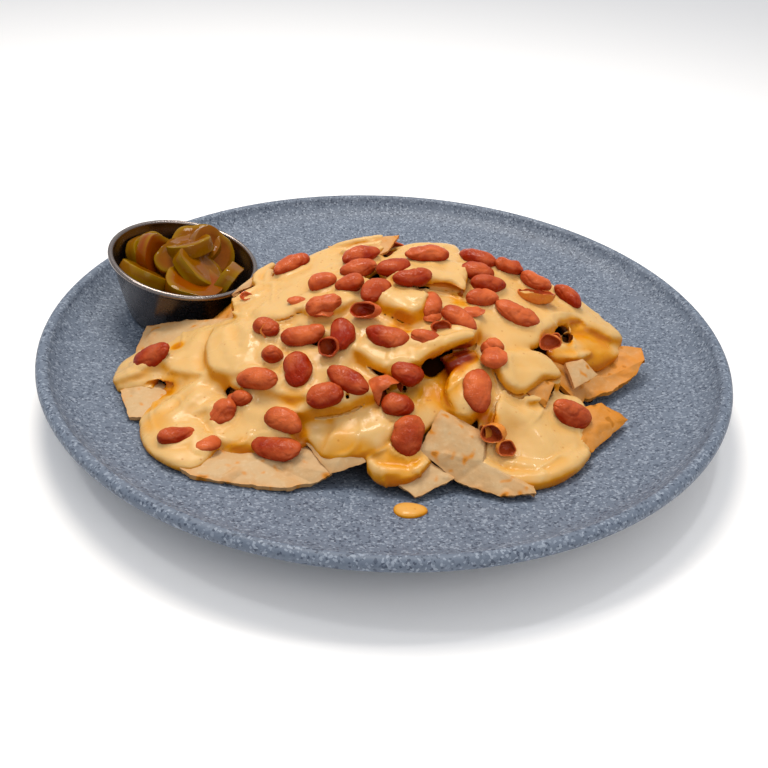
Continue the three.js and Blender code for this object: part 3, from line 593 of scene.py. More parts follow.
def lamp(name, place, target, size, watts, colour):
    """A round soft light."""
    data = bpy.data.lights.new(name, "AREA")
    data.shape = "DISK"
    data.size = size
    data.energy = watts
    data.color = linear(colour)[:3]
    light = bpy.data.objects.new(name, data)
    bpy.context.scene.collection.objects.link(light)
    light.location = place
    light.rotation_euler = (Vector(target) - Vector(place)).to_track_quat("-Z", "Y").to_euler()


def studio():
    """Pale floor, dim surroundings and soft lights."""
    floor = begin(bpy.ops.mesh.primitive_plane_add, size=8)
    floor.name = "floor"
    material, tree = new_material("white_paper_floor")
    surface = add(tree, "BsdfPrincipled", {"Base Color": linear("#fdfdfd"), "Roughness": 0.9,
                                           "Specular IOR Level": 0.1})
    floor.data.materials.append(finish_material(material, surface))
    # the surroundings are a little brighter overhead and behind
    world = bpy.data.worlds.new("studio")
    bpy.context.scene.world = world
    world.use_nodes = True
    tree = world.node_tree
    tree.nodes.clear()
    direction = add(tree, "TexCoord", out="Generated")
    up = add(tree, "VectorMath", {0: direction, 1: (-0.05, 0.2, 0.97)}, operation="DOT_PRODUCT")
    strength = add(tree, "MapRange", {"Value": up, "From Min": -0.1, "To Min": 0.38, "To Max": 0.82})
    sky = add(tree, "Background", {"Color": linear("#f6f8fc"), "Strength": strength})
    add(tree, "OutputWorld", {"Surface": sky})
    for settings in LAMPS:
        lamp(*settings)
    bpy.context.scene.view_settings.view_transform = "Standard"
    bpy.context.scene.view_settings.look = "None"


# ---------------------------------------------------------------- materials

def patchy(tree, attribute, scale, detail, weight):
    """A value painted on the vertices, made patchy by noise about zero.

    Gives the Object coordinates, the painted value, the noise and the patchy value.
    """
    place = add(tree, "TexCoord", out="Object")
    painted = add(tree, "Attribute", out="Fac", attribute_name=attribute)
    patch = add(tree, "TexNoise", {"Vector": place, "Scale": scale, "Detail": detail})
    tone = add(tree, "Math", {0: patch, 1: -0.5}, operation="ADD")
    tone = add(tree, "Math", {0: tone, 1: weight, 2: painted}, operation="MULTIPLY_ADD", use_clamp=True)
    return place, painted, patch, tone


def stoneware():
    """Speckled stoneware under a satin glaze: fine pale and navy grit in blue grey."""
    material, tree = new_material("speckled_stoneware")
    place = add(tree, "TexCoord", out="Object")
    # grit of about 0.7 mm, each grain with its own tone
    grain = add(tree, "TexVoronoi", {"Vector": place, "Scale": 1400.0}, "Color")
    tone = add(tree, "SeparateColor", {"Color": grain}, "Red")
    clouds = add(tree, "TexNoise", {"Vector": place, "Scale": 60.0, "Detail": 4.0})
    dark = add(tree, "MapRange", {"Value": tone, "From Min": 0.22, "From Max": 0.04, "To Max": 0.8},
               interpolation_type="SMOOTHSTEP")
    pale = add(tree, "MapRange", {"Value": tone, "From Min": 0.72, "From Max": 0.96, "To Max": 0.8},
               interpolation_type="SMOOTHSTEP")
    base = linear("#5b6676")
    for mask, code in ((clouds, "#6a7585"), (dark, "#323c4e"), (pale, "#929caa")):
        base = add(tree, "Mix", {"Factor": mask, "A": base, "B": linear(code)}, data_type="RGBA")
    bump = add(tree, "Bump", {"Height": tone, "Strength": 0.12, "Distance": 0.0002})
    surface = add(tree, "BsdfPrincipled", {"Base Color": base, "Roughness": 0.5, "IOR": 1.4, "Normal": bump})
    return finish_material(material, surface)


def steel():
    """Polished stainless steel, pressed, with faint rubbing marks."""
    material, tree = new_material("polished_stainless_steel")
    place = add(tree, "TexCoord", out="Object")
    marks = add(tree, "TexNoise", {"Vector": place, "Scale": 300.0, "Detail": 3.0})
    rough = add(tree, "MapRange", {"Value": marks, "To Min": 0.2, "To Max": 0.34})
    surface = add(tree, "BsdfPrincipled", {"Base Color": linear("#857c78"), "Metallic": 1.0,
                                           "Roughness": rough})
    return finish_material(material, surface)


def tortilla():
    """Fried corn tortilla: pale dry maize, toasted to orange at edges and blisters, and painted near black as
    shade where chips lie deep in the heap.
    """
    material, tree = new_material("fried_corn_tortilla")
    place, toast, _, tone = patchy(tree, "toast", 130.0, 3.0, 1.0)
    # painted shade: near black where chips lie deep in the heap
    burn = add(tree, "MapRange", {"Value": toast, "From Min": 1.0, "From Max": 2.0})
    unburnt = add(tree, "Math", {0: burn, 1: -1.0, 2: 1.0}, operation="MULTIPLY_ADD")
    # pale meal in the fine grain, least where the chip is toasted and where it is painted dark as shade
    plain = add(tree, "Math", {0: tone, 1: -0.8, 2: unburnt}, operation="MULTIPLY_ADD", use_clamp=True)
    fine = add(tree, "TexNoise", {"Vector": place, "Scale": 700.0, "Detail": 5.0})
    pale = add(tree, "MapRange", {"Value": fine, "From Min": 0.5, "From Max": 0.75, "To Max": 0.35},
               interpolation_type="SMOOTHSTEP")
    pale = add(tree, "Math", {0: pale, 1: plain}, operation="MULTIPLY")
    base = linear("#c2a072")
    for mask, code in ((tone, "#ca7e1c"), (burn, "#240e02"), (pale, "#d0b68e")):
        base = add(tree, "Mix", {"Factor": mask, "A": base, "B": linear(code)}, data_type="RGBA")
    bump = add(tree, "Bump", {"Height": fine, "Strength": 0.3, "Distance": 0.0005})
    # less shine where the painted shade lies, so it stays dark
    gloss = add(tree, "Math", {0: unburnt, 1: 0.35}, operation="MULTIPLY")
    surface = add(tree, "BsdfPrincipled", {"Base Color": base, "Roughness": 0.55, "IOR": 1.45,
                                           "Specular IOR Level": gloss, "Normal": bump})
    return finish_material(material, surface)


def cheese():
    """Warm processed cheese sauce: glossy and slightly see-through, deeper orange where it is thick, and
    painted deeper orange and brown as shade on walls, in hollows and under lips.
    """
    material, tree = new_material("warm_cheese_sauce")
    place, depth, patch, tone = patchy(tree, "depth", 70.0, 3.0, 0.5)
    # the painted value is partly how thick the sauce lies and partly painted shade; both orange masks carry
    # both, and the brown mask carries only painted shade in hollows and undersides
    thin = add(tree, "MapRange", {"Value": tone, "From Max": 0.6})
    thick = add(tree, "MapRange", {"Value": tone, "From Min": 0.5})
    brown = add(tree, "MapRange", {"Value": depth, "From Min": 1.05, "From Max": 1.8})
    # specks up to 1 mm across, one or two in each square centimetre
    specks = add(tree, "TexVoronoi", {"Vector": place, "Scale": 260.0})
    fleck = add(tree, "MapRange", {"Value": specks, "From Min": 0.14, "From Max": 0.06, "To Max": 0.5})
    base = linear("#d6ac6c")
    for mask, code in ((thin, "#d8900c"), (thick, "#c06a02"), (brown, "#842402"), (fleck, "#b06418")):
        base = add(tree, "Mix", {"Factor": mask, "A": base, "B": linear(code)}, data_type="RGBA")
    wet = add(tree, "MapRange", {"Value": patch, "From Min": 0.35, "From Max": 0.65,
                                 "To Min": 0.16, "To Max": 0.36})
    ripple = add(tree, "TexNoise", {"Vector": place, "Scale": 260.0, "Detail": 3.0})
    bump = add(tree, "Bump", {"Height": ripple, "Strength": 0.12, "Distance": 0.0008})
    surface = add(tree, "BsdfPrincipled",
                  {"Base Color": base, "Roughness": wet, "IOR": 1.36, "Specular IOR Level": 0.4,
                   "Subsurface Weight": 0.06, "Subsurface Radius": (1.0, 0.4, 0.08),
                   "Subsurface Scale": 0.0015, "Normal": bump})
    return finish_material(material, surface)


def bean_skin():
    """Cooked pinto bean: thin wet red-brown skin, painted lighter and more orange on top as light, and deeper
    red inside torn skins as shade.
    """
    material, tree = new_material("cooked_bean_skin")
    place, tint, _, tone = patchy(tree, "tint", 160.0, 4.0, 1.3)
    # torn skins are drier and lighter
    dry = add(tree, "MapRange", {"Value": tint, "From Min": 1.2, "From Max": 2.0})
    # the tint runs from deep red to orange and holds painted light on the beans' tops
    base = linear("#902000")
    for mask, code in ((tone, "#cf6634"), (dry, "#d88a30")):
        base = add(tree, "Mix", {"Factor": mask, "A": base, "B": linear(code)}, data_type="RGBA")
    # the skin's wrinkles, about 2 mm apart
    fine = add(tree, "TexNoise", {"Vector": place, "Scale": 480.0, "Detail": 5.0, "Distortion": 1.2})
    bump = add(tree, "Bump", {"Height": fine, "Strength": 0.55, "Distance": 0.0007})
    surface = add(tree, "BsdfPrincipled", {"Base Color": base, "Roughness": 0.2, "IOR": 1.36,
                                           "Specular IOR Level": 0.24, "Normal": bump})
    return finish_material(material, surface)


def pepper_flesh():
    """Pickled green pepper, turned olive and amber in its vinegar: wet, smooth and glossy."""
    material, tree = new_material("pickled_pepper")
    _, _, patch, tone = patchy(tree, "amber", 150.0, 3.0, 0.9)
    skin = add(tree, "Attribute", out="Fac", attribute_name="skin")
    base = linear("#7e5200")
    for mask, code in ((tone, "#803600"), (skin, "#8c6c04")):
        base = add(tree, "Mix", {"Factor": mask, "A": base, "B": linear(code)}, data_type="RGBA")
    bump = add(tree, "Bump", {"Height": patch, "Strength": 0.3, "Distance": 0.001})
    surface = add(tree, "BsdfPrincipled", {"Base Color": base, "Roughness": 0.09, "IOR": 1.33,
                                           "Specular IOR Level": 0.26, "Normal": bump})
    return finish_material(material, surface)


# ---------------------------------------------------------------- plate and cup

def make_plate():
    """The plate, turned in one piece: well, slope, rounded lip, underside and foot ring."""
    def slope(radius):
        return PLATE_FLOOR + (radius - WELL_RADIUS) * SLOPE

    rise = slope(SLOPE_RADIUS)
    under = PLATE_FLOOR - PLATE_WALL
    lip = (PLATE_RADIUS - LIP_RADIUS, PLATE_HEIGHT - LIP_RADIUS)
    profile = [
        (1.0, PLATE_FLOOR), (30, PLATE_FLOOR), (58, PLATE_FLOOR), (WELL_RADIUS - 5, PLATE_FLOOR + 0.05),
        (WELL_RADIUS, PLATE_FLOOR + 0.35), (WELL_RADIUS + 5, slope(WELL_RADIUS + 5) + 0.05),
        (96, slope(96)), (112, slope(112)), (SLOPE_RADIUS, rise + 0.1), (SLOPE_RADIUS + 4, rise + 1.5),
        (SLOPE_RADIUS + 7.5, rise + 3.9), (SLOPE_RADIUS + 9, rise + 5.6),
    ]
    profile += arc(lip, LIP_RADIUS, 165, -35, 12)
    profile += [
        (SLOPE_RADIUS + 10.5, rise + 1.8), (SLOPE_RADIUS + 5, rise - 1.4),
        (SLOPE_RADIUS - 20, slope(SLOPE_RADIUS - 20) - PLATE_WALL - 1), (WELL_RADIUS, under + 0.2),
        (FOOT_RADIUS + 1, under), (FOOT_RADIUS, under - 0.3), (FOOT_RADIUS - 1, 0.15), (FOOT_RADIUS - 1.3, 0),
        (FOOT_RADIUS - FOOT_WIDTH, 0), (FOOT_RADIUS - FOOT_WIDTH - 0.6, 0.3),
        (FOOT_RADIUS - FOOT_WIDTH - 1, under), (30, under), (1.0, under),
    ]
    plate = turned("stoneware_plate", profile, 160)
    modify(plate, "SUBSURF", levels=1, render_levels=1)
    smooth_over(plate, 60)
    dress(plate, stoneware(), "plate")


def in_cup(piece):
    """Leans a piece made upright over the origin, and stands it in the cup's place."""
    across = Vector((-math.sin(CUP_LEAN_TOWARDS), math.cos(CUP_LEAN_TOWARDS), 0))
    piece.data.transform(Matrix.Translation(Vector(CUP_PLACE) * MM) @ Matrix.Rotation(CUP_LEAN, 4, across))


def cup_radius(height):
    """Outer radius of the cup's wall at a height."""
    return CUP_BASE_RADIUS + (CUP_RIM_RADIUS - CUP_BASE_RADIUS) * height / CUP_HEIGHT


def make_cup():
    """The cup, turned in one piece: raised base, flared wall, rolled bead and the inside."""
    base, bead = CUP_BASE_RADIUS, (CUP_RIM_RADIUS, CUP_HEIGHT)
    profile = [(0.5, 0.9), (12, 0.9), (14, 0.4), (15, 0.0), (base - 2.4, 0), (base - 0.8, 0.5), (base, 1.8),
               (cup_radius(12), 12), (cup_radius(25), 25)]
    profile += arc(bead, CUP_BEAD, -70, 200, 12)
    profile += [(cup_radius(25) - CUP_WALL, 25), (cup_radius(12) - CUP_WALL, 12), (base - CUP_WALL, 2.4),
                (base - 1.8, 1.3), (base - 3.4, 0.9 + CUP_WALL), (12, 1.4 + CUP_WALL), (0.5, 1.4 + CUP_WALL)]
    cup = turned("steel_sauce_cup", profile, 128)
    in_cup(cup)
    smooth_over(cup, 50)
    dress(cup, steel(), "sauce_cup")


# ---------------------------------------------------------------- pickled peppers

def pepper_slice(radius, thickness, amber, seed):
    """One thick crosswise slice: smooth skin round the edge, a fleshy wall and a shallow seed chamber."""
    half = thickness / 2
    wall = 0.34 * radius
    profile = [(0.8, half - 0.3), (radius - wall - 1.0, half - 0.4), (radius - wall, half - 0.1),
               (radius - wall + 0.8, half), (radius - 0.5, half), (radius - 0.1, half - 0.15),
               (radius, half - 0.6), (radius + 0.15, 0), (radius, -half + 0.6), (radius - 0.1, -half + 0.15),
               (radius - 0.5, -half), (radius - wall + 0.8, -half), (radius - wall, -half + 0.1),
               (radius - wall - 1.0, -half + 0.4), (0.8, -half + 0.3)]
    piece = turned("slice", profile, 48)
    places = vertices_of(piece) / MM
    angle = np.arctan2(places[:, 1], places[:, 0])
    out = np.hypot(places[:, 0], places[:, 1])
    # lobed outline, warped face, uneven flesh
    lobes = 1 + 0.05 * np.cos(3 * angle + seed) + 0.03 * np.cos(5 * angle + 2 * seed)
    places[:, 0] *= lobes
    places[:, 1] *= lobes * 0.92
    places[:, 2] += 0.8 * np.cos(angle + seed) * (out / radius) ** 2
    places += normals_of(piece) * rumple(places, 4.5, 0.35, 3 * seed)[:, None]
    move_vertices(piece, places * MM)
    edge = 1 - step(np.abs(np.abs(places[:, 2]) - half + 0.5), 0, 1.0)
    store(piece, "skin", edge * step(out, radius - 2.0, radius - 0.6) * 0.8)
    store(piece, "amber", amber + 0.3 * (1 - step(out, 0.35 * radius, 0.85 * radius)))
    return piece


def make_peppers():
    """The slices that show and the ones beneath them, squeezed to fit the cup."""
    made = []
    for index, (middle, tip, turn, radius, amber) in enumerate(SLICES):
        piece = pepper_slice(radius, SLICE_THICKNESS, amber, 1.7 * index)
        piece.data.transform(Matrix.Translation(Vector(middle) * MM)
                             @ Matrix.Rotation(math.radians(turn), 4, "Z")
                             @ Matrix.Rotation(math.radians(tip), 4, "Y"))
        made.append(piece)
    for index in range(HIDDEN_SLICES):
        angle = index * 2.4
        reach = 10 * math.sqrt((index + 0.5) / HIDDEN_SLICES)
        piece = pepper_slice(HIDDEN_RADIUS, SLICE_THICKNESS - 0.2, 0.5, 2.1 * index)
        middle = Vector((reach * math.cos(angle), reach * math.sin(angle), 6 + 0.7 * index))
        piece.data.transform(Matrix.Translation(middle * MM) @ Matrix.Rotation(angle, 4, "Z")
                             @ Matrix.Rotation(math.radians(12 + 9 * (index % 3)), 4, "X"))
        made.append(piece)
    peppers = join(made, "pickled_pepper_slices")
    # nothing reaches into the cup's wall or base
    places = vertices_of(peppers) / MM
    out = np.hypot(places[:, 0], places[:, 1])
    limit = cup_radius(np.clip(places[:, 2], 1, CUP_HEIGHT)) - CUP_WALL - 0.4
    squeeze = np.minimum(1, limit / np.maximum(out, 1e-6))
    places[:, 0] *= squeeze
    places[:, 1] *= squeeze
    places[:, 2] = np.maximum(places[:, 2], 2.6)
    move_vertices(peppers, places * MM)
    in_cup(peppers)
    smooth_over(peppers, 50)
    dress(peppers, pepper_flesh(), "pepper_slices")


# ---------------------------------------------------------------- chips

def chip_mesh(name, corners, crown, toast, seed, cuts=5):
    """A fried chip: a fan over its corners, cut fine, made ragged, crowned, blistered and thickened."""
    middle, normal, loop = loop_frame(np.array(corners, dtype=float))
    count = len(loop)
    size = min(1.0, np.linalg.norm(loop - middle, axis=1).mean() / 18)    # small chips are less uneven
    piece = begin(bpy.ops.mesh.primitive_circle_add, vertices=count, radius=1.0, fill_type="TRIFAN")
    bpy.ops.object.mode_set(mode="EDIT")
    bpy.ops.mesh.select_all(action="SELECT")
    for _ in range(cuts):
        bpy.ops.mesh.subdivide(number_cuts=1, smoothness=0)
    bpy.ops.object.mode_set(mode="OBJECT")
    piece.name = name
    # where each vertex lies in the flat fan: after which corner, how far along its side and how far out
    flat = vertices_of(piece)
    angle = np.arctan2(flat[:, 1], flat[:, 0]) - math.pi / 2
    turn = angle / (2 * math.pi) % 1.0 * count
    start = np.floor(turn + 1e-6).astype(int)
    half = math.pi / count
    within = (turn - start - 0.5) * 2 * half
    out = np.clip(np.hypot(flat[:, 0], flat[:, 1]) * np.cos(within) / math.cos(half), 0, 1)
    along = (0.5 + np.tan(within) / (2 * math.tan(half)))[:, None]
    # the same place in the chip's own outline
    rim = loop[start % count] * (1 - along) + loop[(start + 1) % count] * along
    places = middle + (rim - middle) * out[:, None]
    outward = (places - middle) / np.maximum(np.linalg.norm(places - middle, axis=1), 1)[:, None]
    ragged = rumple(places, 6.0, 0.8, seed) + rumple(places, 1.8, 0.3, seed + 3)
    places += outward * (size * ragged * out ** 4)[:, None]
    # crown, fine grain, blisters and a slow bend
    blister = np.maximum(0, rumple(places, 6.5, 1.0, seed + 1) - 0.25) * 2.0
    lift = (crown * (1 - out ** 2) + rumple(places, 2.4, 0.14, seed + 5)
            + size * (blister * (1 - 0.5 * out ** 4) + rumple(places, 20, 1.4, seed + 2)))
    places += normal * lift[:, None]
    move_vertices(piece, places * MM)
    # browned at the edge, on blisters and in scattered spots, over the chip's own value, which above 1 is
    # painted shade
    spots = np.maximum(0, rumple(places, 3.0, 1.0, seed + 7) - 0.42) * 3.0
    browned = toast + 0.3 * out ** 10 + 0.2 * np.clip(blister / 1.5, 0, 1)
    store(piece, "toast", browned + np.clip(spots, 0, max(0.1, 1.3 - toast)))
    modify(piece, "SOLIDIFY", thickness=CHIP_THICKNESS * MM, offset=-1.0)
    places = vertices_of(piece) / MM
    places[:, 2] = np.maximum(places[:, 2], plate_top(places[:, 0], places[:, 1]) + 0.15)
    move_vertices(piece, places * MM)
    smooth_over(piece, 50)
    return piece


def make_chips(material):
    """The bare chips, each for its own node."""
    for index, (node, (corners, crown, toast)) in enumerate(CHIPS.items()):
        chip = chip_mesh(node + "_fried", corners, crown, toast, 3.7 * index + 1)
        dress(chip, material, node)


def leaning_chips():
    """Corners of the chips that lean out at the back and the right."""
    def at(angle, share, lift):
        x = HEAP_MIDDLE[0] + math.cos(angle) * HEAP_REACH["right"] * share
        y = HEAP_MIDDLE[1] + math.sin(angle) * HEAP_REACH["back"] * share
        x, y = beside_cup(x, y)
        return (x, y, float(heap_top(x, y, 6.5)) + lift)

    corners = [list(chip) for chip in RIGHT_CHIPS]
    spread = math.radians(LEANING_SPREAD)
    for index in range(LEANING_CHIPS):
        bearing = math.radians(LEANING_FROM + (LEANING_TO - LEANING_FROM) * index / (LEANING_CHIPS - 1))
        skew = math.radians(LEANING_SKEW * (1 if index % 2 == 0 else -1))
        corners.append([at(bearing + skew, LEANING_TOP, 1),
                        at(bearing - spread, LEANING_FOOT, 3 + 2 * (index % 3)),
                        at(bearing + spread, LEANING_FOOT, 2)])
    return corners


def beside_cup(x, y):
    """The place itself, or drawn in towards the front middle of the heap until it is clear of the cup."""
    while math.hypot(x - CUP_PLACE[0], y - CUP_PLACE[1]) < CUP_RIM_RADIUS + CUP_CLEARANCE:
        x += 0.04 * (HEAP_MIDDLE[0] - x)
        y += 0.04 * (HEAP_MIDDLE[1] - 14 - y)
    return x, y


def inside_heap(x, y, share):
    """The place itself, or drawn towards the heap's middle to lie within this share of its reach."""
    across, deep = x - HEAP_MIDDLE[0], y - HEAP_MIDDLE[1]
    reach_x, reach_y = heap_reach(across, deep)
    draw = min(1.0, share / max(math.hypot(across / reach_x, deep / reach_y), 1e-6))
    return HEAP_MIDDLE[0] + across * draw, HEAP_MIDDLE[1] + deep * draw


def packed_chips():
    """Corners of whole chips at random under the sauce, each lying near the slope of the dome."""
    pick = np.random.default_rng(4)
    corners = []
    for index in range(PACKED_CHIPS):
        bearing = index * GOLDEN_ANGLE
        share = PACKED_SPREAD * math.sqrt((index + 0.5) / PACKED_CHIPS)
        reach_x, reach_y = heap_reach(math.cos(bearing), math.sin(bearing))
        x = HEAP_MIDDLE[0] + math.cos(bearing) * reach_x * share
        y = HEAP_MIDDLE[1] + math.sin(bearing) * reach_y * share
        turn = pick.uniform(0, 2 * math.pi)
        tilt = pick.uniform(-0.28, 0.28, 2)
        sink = pick.uniform(6.0, 13.0)
        points = []
        for corner in range(3):
            angle = turn + corner * 2.1 + pick.uniform(-0.2, 0.2)
            px, py = beside_cup(*inside_heap(x + PACKED_REACH * math.cos(angle),
                                             y + PACKED_REACH * math.sin(angle), PACKED_LIMIT))
            height = float(heap_top(px, py)) - sink + tilt[0] * (px - x) + tilt[1] * (py - y)
            height = min(height, float(heap_top(px, py)) - PACKED_COVER)
            points.append((px, py, max(height, float(plate_top(px, py)) + 2.2)))
        corners.append(points)
    return corners


def make_heap(material):
    """The chips that lean round the back and lie under the sauce, over a small core painted dark as shade."""
    made = []
    for index, corners in enumerate(leaning_chips()):
        toast = 0.15 + 0.5 * (index % 3 == 0)
        made.append(chip_mesh("leaning", corners, 1.5, toast, 50 + index * 1.9, cuts=4))
    for index, corners in enumerate(packed_chips()):
        # packed chips round the middle are painted near black as shade; the outer ones are only toasted
        toast = 1.5 + 0.2 * (index % 4) if index < PACKED_DEEP * PACKED_CHIPS else 0.7
        made.append(chip_mesh("packed", corners, 1.5, toast, 90 + index * 1.3, cuts=3))
    core = begin(bpy.ops.mesh.primitive_uv_sphere_add, segments=64, ring_count=32, radius=1.0)
    ball = vertices_of(core)
    reach_x, reach_y = heap_reach(ball[:, 0], ball[:, 1])
    x = HEAP_MIDDLE[0] + ball[:, 0] * reach_x * CORE_SHRINK
    y = HEAP_MIDDLE[1] + ball[:, 1] * reach_y * CORE_SHRINK
    top = np.maximum(heap_top(x, y, CORE_SINK) - CORE_DROP, plate_top(x, y) + 0.3)
    z = np.where(ball[:, 2] > 0, top, plate_top(x, y) + 0.2)
    move_vertices(core, np.stack([x, y, z], axis=1) * MM)
    # the core is painted near black as shade, darkest on top
    store(core, "toast", 1.3 + 0.7 * step(ball[:, 2], 0.1, 0.5))
    made.append(core)
    heap = join(made, "packed_chips")
    smooth_over(heap, 50)
    dress(heap, material, "chip_heap")


# ---------------------------------------------------------------- cheese sauce

def fold_mesh(outline):
    """One soft-edged fold: a sphere's rings laid from the crowned middle to the outline and back under."""
    middle, normal, loop = loop_frame(rounded_loop(outline, 96))
    piece = begin(bpy.ops.mesh.primitive_uv_sphere_add, segments=48, ring_count=22, radius=1.0)
    ball = vertices_of(piece)
    # the sphere's turn picks the place on the outline, its height how far out the vertex lies
    polar = np.arccos(np.clip(ball[:, 2], -1, 1))
    turn = (np.arctan2(ball[:, 1], ball[:, 0]) / (2 * math.pi)) % 1.0 * len(loop)
    start = np.floor(turn).astype(int) % len(loop)
    share = (turn - np.floor(turn))[:, None]
    rim = loop[start] * (1 - share) + loop[(start + 1) % len(loop)] * share
    out = np.sqrt(np.sin(polar))
    face = np.sign(np.cos(polar)) * np.abs(np.cos(polar)) ** 0.6
    lift = SAUCE_CROWN * (1 - out ** 2) + (face - 1) * SAUCE_THICKNESS / 2
    places = middle + (rim - middle) * out[:, None] + normal * lift[:, None]
    move_vertices(piece, places * MM)
    return piece


def rope(points, radius):
    """A round rope along given points, thinner at both ends."""
    data = bpy.data.curves.new("rope", "CURVE")
    data.dimensions = "3D"
    data.bevel_depth = radius * MM
    data.bevel_resolution = 3
    data.resolution_u = 8
    data.use_fill_caps = True
    spline = data.splines.new("NURBS")
    spline.points.add(len(points) - 1)
    for index, point in enumerate(points):
        spline.points[index].co = (*(value * MM for value in point), 1)
        spline.points[index].radius = 0.55 if index in (0, len(points) - 1) else 1.0
    spline.order_u = 3
    spline.use_endpoint_u = True
    piece = bpy.data.objects.new("rope", data)
    bpy.context.scene.collection.objects.link(piece)
    select_only(piece)
    bpy.ops.object.convert(target="MESH")
    return bpy.context.object


def hollows(piece, rounds):
    """How far each vertex lies inside the smoothed surface around it, in mm: above 0 in a hollow."""
    edges = np.empty(len(piece.data.edges) * 2, dtype=np.int64)
    piece.data.edges.foreach_get("vertices", edges)
    first, second = edges.reshape(-1, 2).T
    places = vertices_of(piece) / MM
    count = len(places)
    degree = np.maximum(1, np.bincount(np.concatenate([first, second]), minlength=count))
    smooth = places.copy()
    for _ in range(rounds):
        total = np.stack([np.bincount(first, smooth[second, axis], minlength=count)
                          + np.bincount(second, smooth[first, axis], minlength=count)
                          for axis in range(3)], axis=1)
        smooth = 0.5 * smooth + 0.5 * total / degree[:, None]
    return np.einsum("ij,ij->i", smooth - places, normals_of(piece))


def beside(places, points):
    """For each place, its distance in plan from a line, above 0 on the left, and how far past its ends."""
    line = smooth_line(points)
    best = np.full(len(places), 1e9)
    signed = np.zeros(len(places))
    past = np.zeros(len(places))
    for index, (start, end) in enumerate(zip(line, line[1:])):
        along = end - start
        length = np.linalg.norm(along)
        along = along / length
        offset = places - start
        reach = offset @ along
        over = np.maximum(0, np.maximum(-reach, reach - length))
        across = along[0] * offset[:, 1] - along[1] * offset[:, 0]
        distance = np.hypot(across, over)
        nearer = distance < best
        best = np.where(nearer, distance, best)
        signed = np.where(nearer, np.where(across < 0, -distance, distance), signed)
        at_end = (index == 0) & (reach < 0) | (index == len(line) - 2) & (reach > length)
        past = np.where(nearer, over * at_end, past)
    return signed, past


def relief(places):
    """Height that the lips and waves add to the sauce at each place."""
    flat = places[:, :2]
    total = np.zeros(len(flat))
    for points, rise, drop, behind, front, _ in LIPS:
        signed, past = beside(flat, points)
        high = step(signed, -0.7, 0.7)
        total += np.exp(-(past / 3) ** 2) * (high * rise * (1 - step(signed, 0, behind))
                                             - (1 - high) * drop * (1 - step(-signed, 0, front)))
    for points, height, width in WAVES:
        signed, past = beside(flat, points)
        total += height * np.exp(-(signed / width) ** 2)
    return total


def undercuts():
    """Ropes along the foot of each lip that has a gap under it."""
    made = []
    for points, _, drop, _, _, radius in LIPS:
        if radius:
            line = smooth_line(points, 3)[1:-1]
            foot = heap_top(line[:, 0], line[:, 1]) - drop + 0.7 * radius
            ahead = np.gradient(line, axis=0)
            left = np.stack([-ahead[:, 1], ahead[:, 0]], axis=1)
            left /= np.linalg.norm(left, axis=1)[:, None]
            line = line + left * 0.3 * radius
            made.append(rope(np.column_stack([line, foot]).tolist(), radius))
    return made


def make_sauce(material, beans):
    """The sauce: folds flowed together, lips and waves raised, rolled edges added, dark gaps cut out."""
    sauce = join([fold_mesh(outline) for outline in FOLDS.values()], "cheese_sauce_layer")
    modify(sauce, "REMESH", mode="VOXEL", voxel_size=SAUCE_VOXEL * MM)
    places = vertices_of(sauce) / MM
    places[:, 2] += relief(places)
    move_vertices(sauce, places * MM)
    sauce = join([sauce] + [rope(points, radius) for points, radius in ROLLS], "cheese_sauce_layer")
    modify(sauce, "REMESH", mode="VOXEL", voxel_size=SAUCE_VOXEL * MM)
    gaps = join([rope(points, radius) for points, radius in GAPS] + undercuts(), "gaps")
    modify(gaps, "REMESH", mode="VOXEL", voxel_size=SAUCE_VOXEL * MM)
    modify(sauce, "BOOLEAN", object=gaps, operation="DIFFERENCE", solver="MANIFOLD")
    bpy.data.objects.remove(gaps)
    modify(sauce, "SMOOTH", factor=0.5, iterations=4)
    places = vertices_of(sauce) / MM
    normals = normals_of(sauce)
    # crumbly in places, like sauce with torn bean in it
    crumbly = step(rumple(places, 16, 1.0, 25), 0.1, 0.5)
    # thin creases here and there
    crease = np.exp(-(rumple(places * (1, 0.6, 1), 13, 1.0, 27) / 0.045) ** 2)
    crease *= step(rumple(places, 24, 1.0, 28), 0.0, 0.3)
    # slow waves, ripples and grain
    wave = (rumple(places, 15, 0.7, 21) + rumple(places, 6, 0.22, 22) + rumple(places, 2.4, 0.08, 23)
            + crumbly * rumple(places, 2.6, 0.35, 24) + 0.5 * crease)
    places += normals * wave[:, None]
    # the sauce climbs a little round each bean
    for middle, axes, halves in beans:
        near = np.linalg.norm((places - middle) @ axes.T / (halves + 0.8), axis=1)
        places[:, 2] += 0.6 * (1 - step(near, 0.95, 1.15)) * (normals[:, 2] > 0.2)
    places[:, 2] = np.maximum(places[:, 2], plate_top(places[:, 0], places[:, 1]) + 0.1)
    move_vertices(sauce, places * MM)
    # painted shade: deeper orange on walls and in hollows, brown in the darkest hollows and undersides;
    # deeper orange also where it lies thick
    depth = 0.02 + 0.8 * (1 - step(normals[:, 2], 0.1, 0.85)) + 0.45 * hollows(sauce, 14)
    for middle, radius, strength in SOAKED:
        out = np.hypot(places[:, 0] - middle[0], places[:, 1] - middle[1])
        depth += strength * (1 - step(out, 0.3 * radius, radius))
    depth = np.minimum(depth, 1.0)
    # painted brown shade in the listed hollows and undersides
    for middle, radius, strength in BROWNED:
        out = np.linalg.norm(places - middle, axis=1)
        depth += strength * (1 - step(out, 0.4 * radius, radius)) * step(middle[2] + 3 - places[:, 2], 0, 2)
    store(sauce, "depth", depth)
    smooth_over(sauce, 80)
    dress(sauce, material, "cheese_sauce")
    return sauce


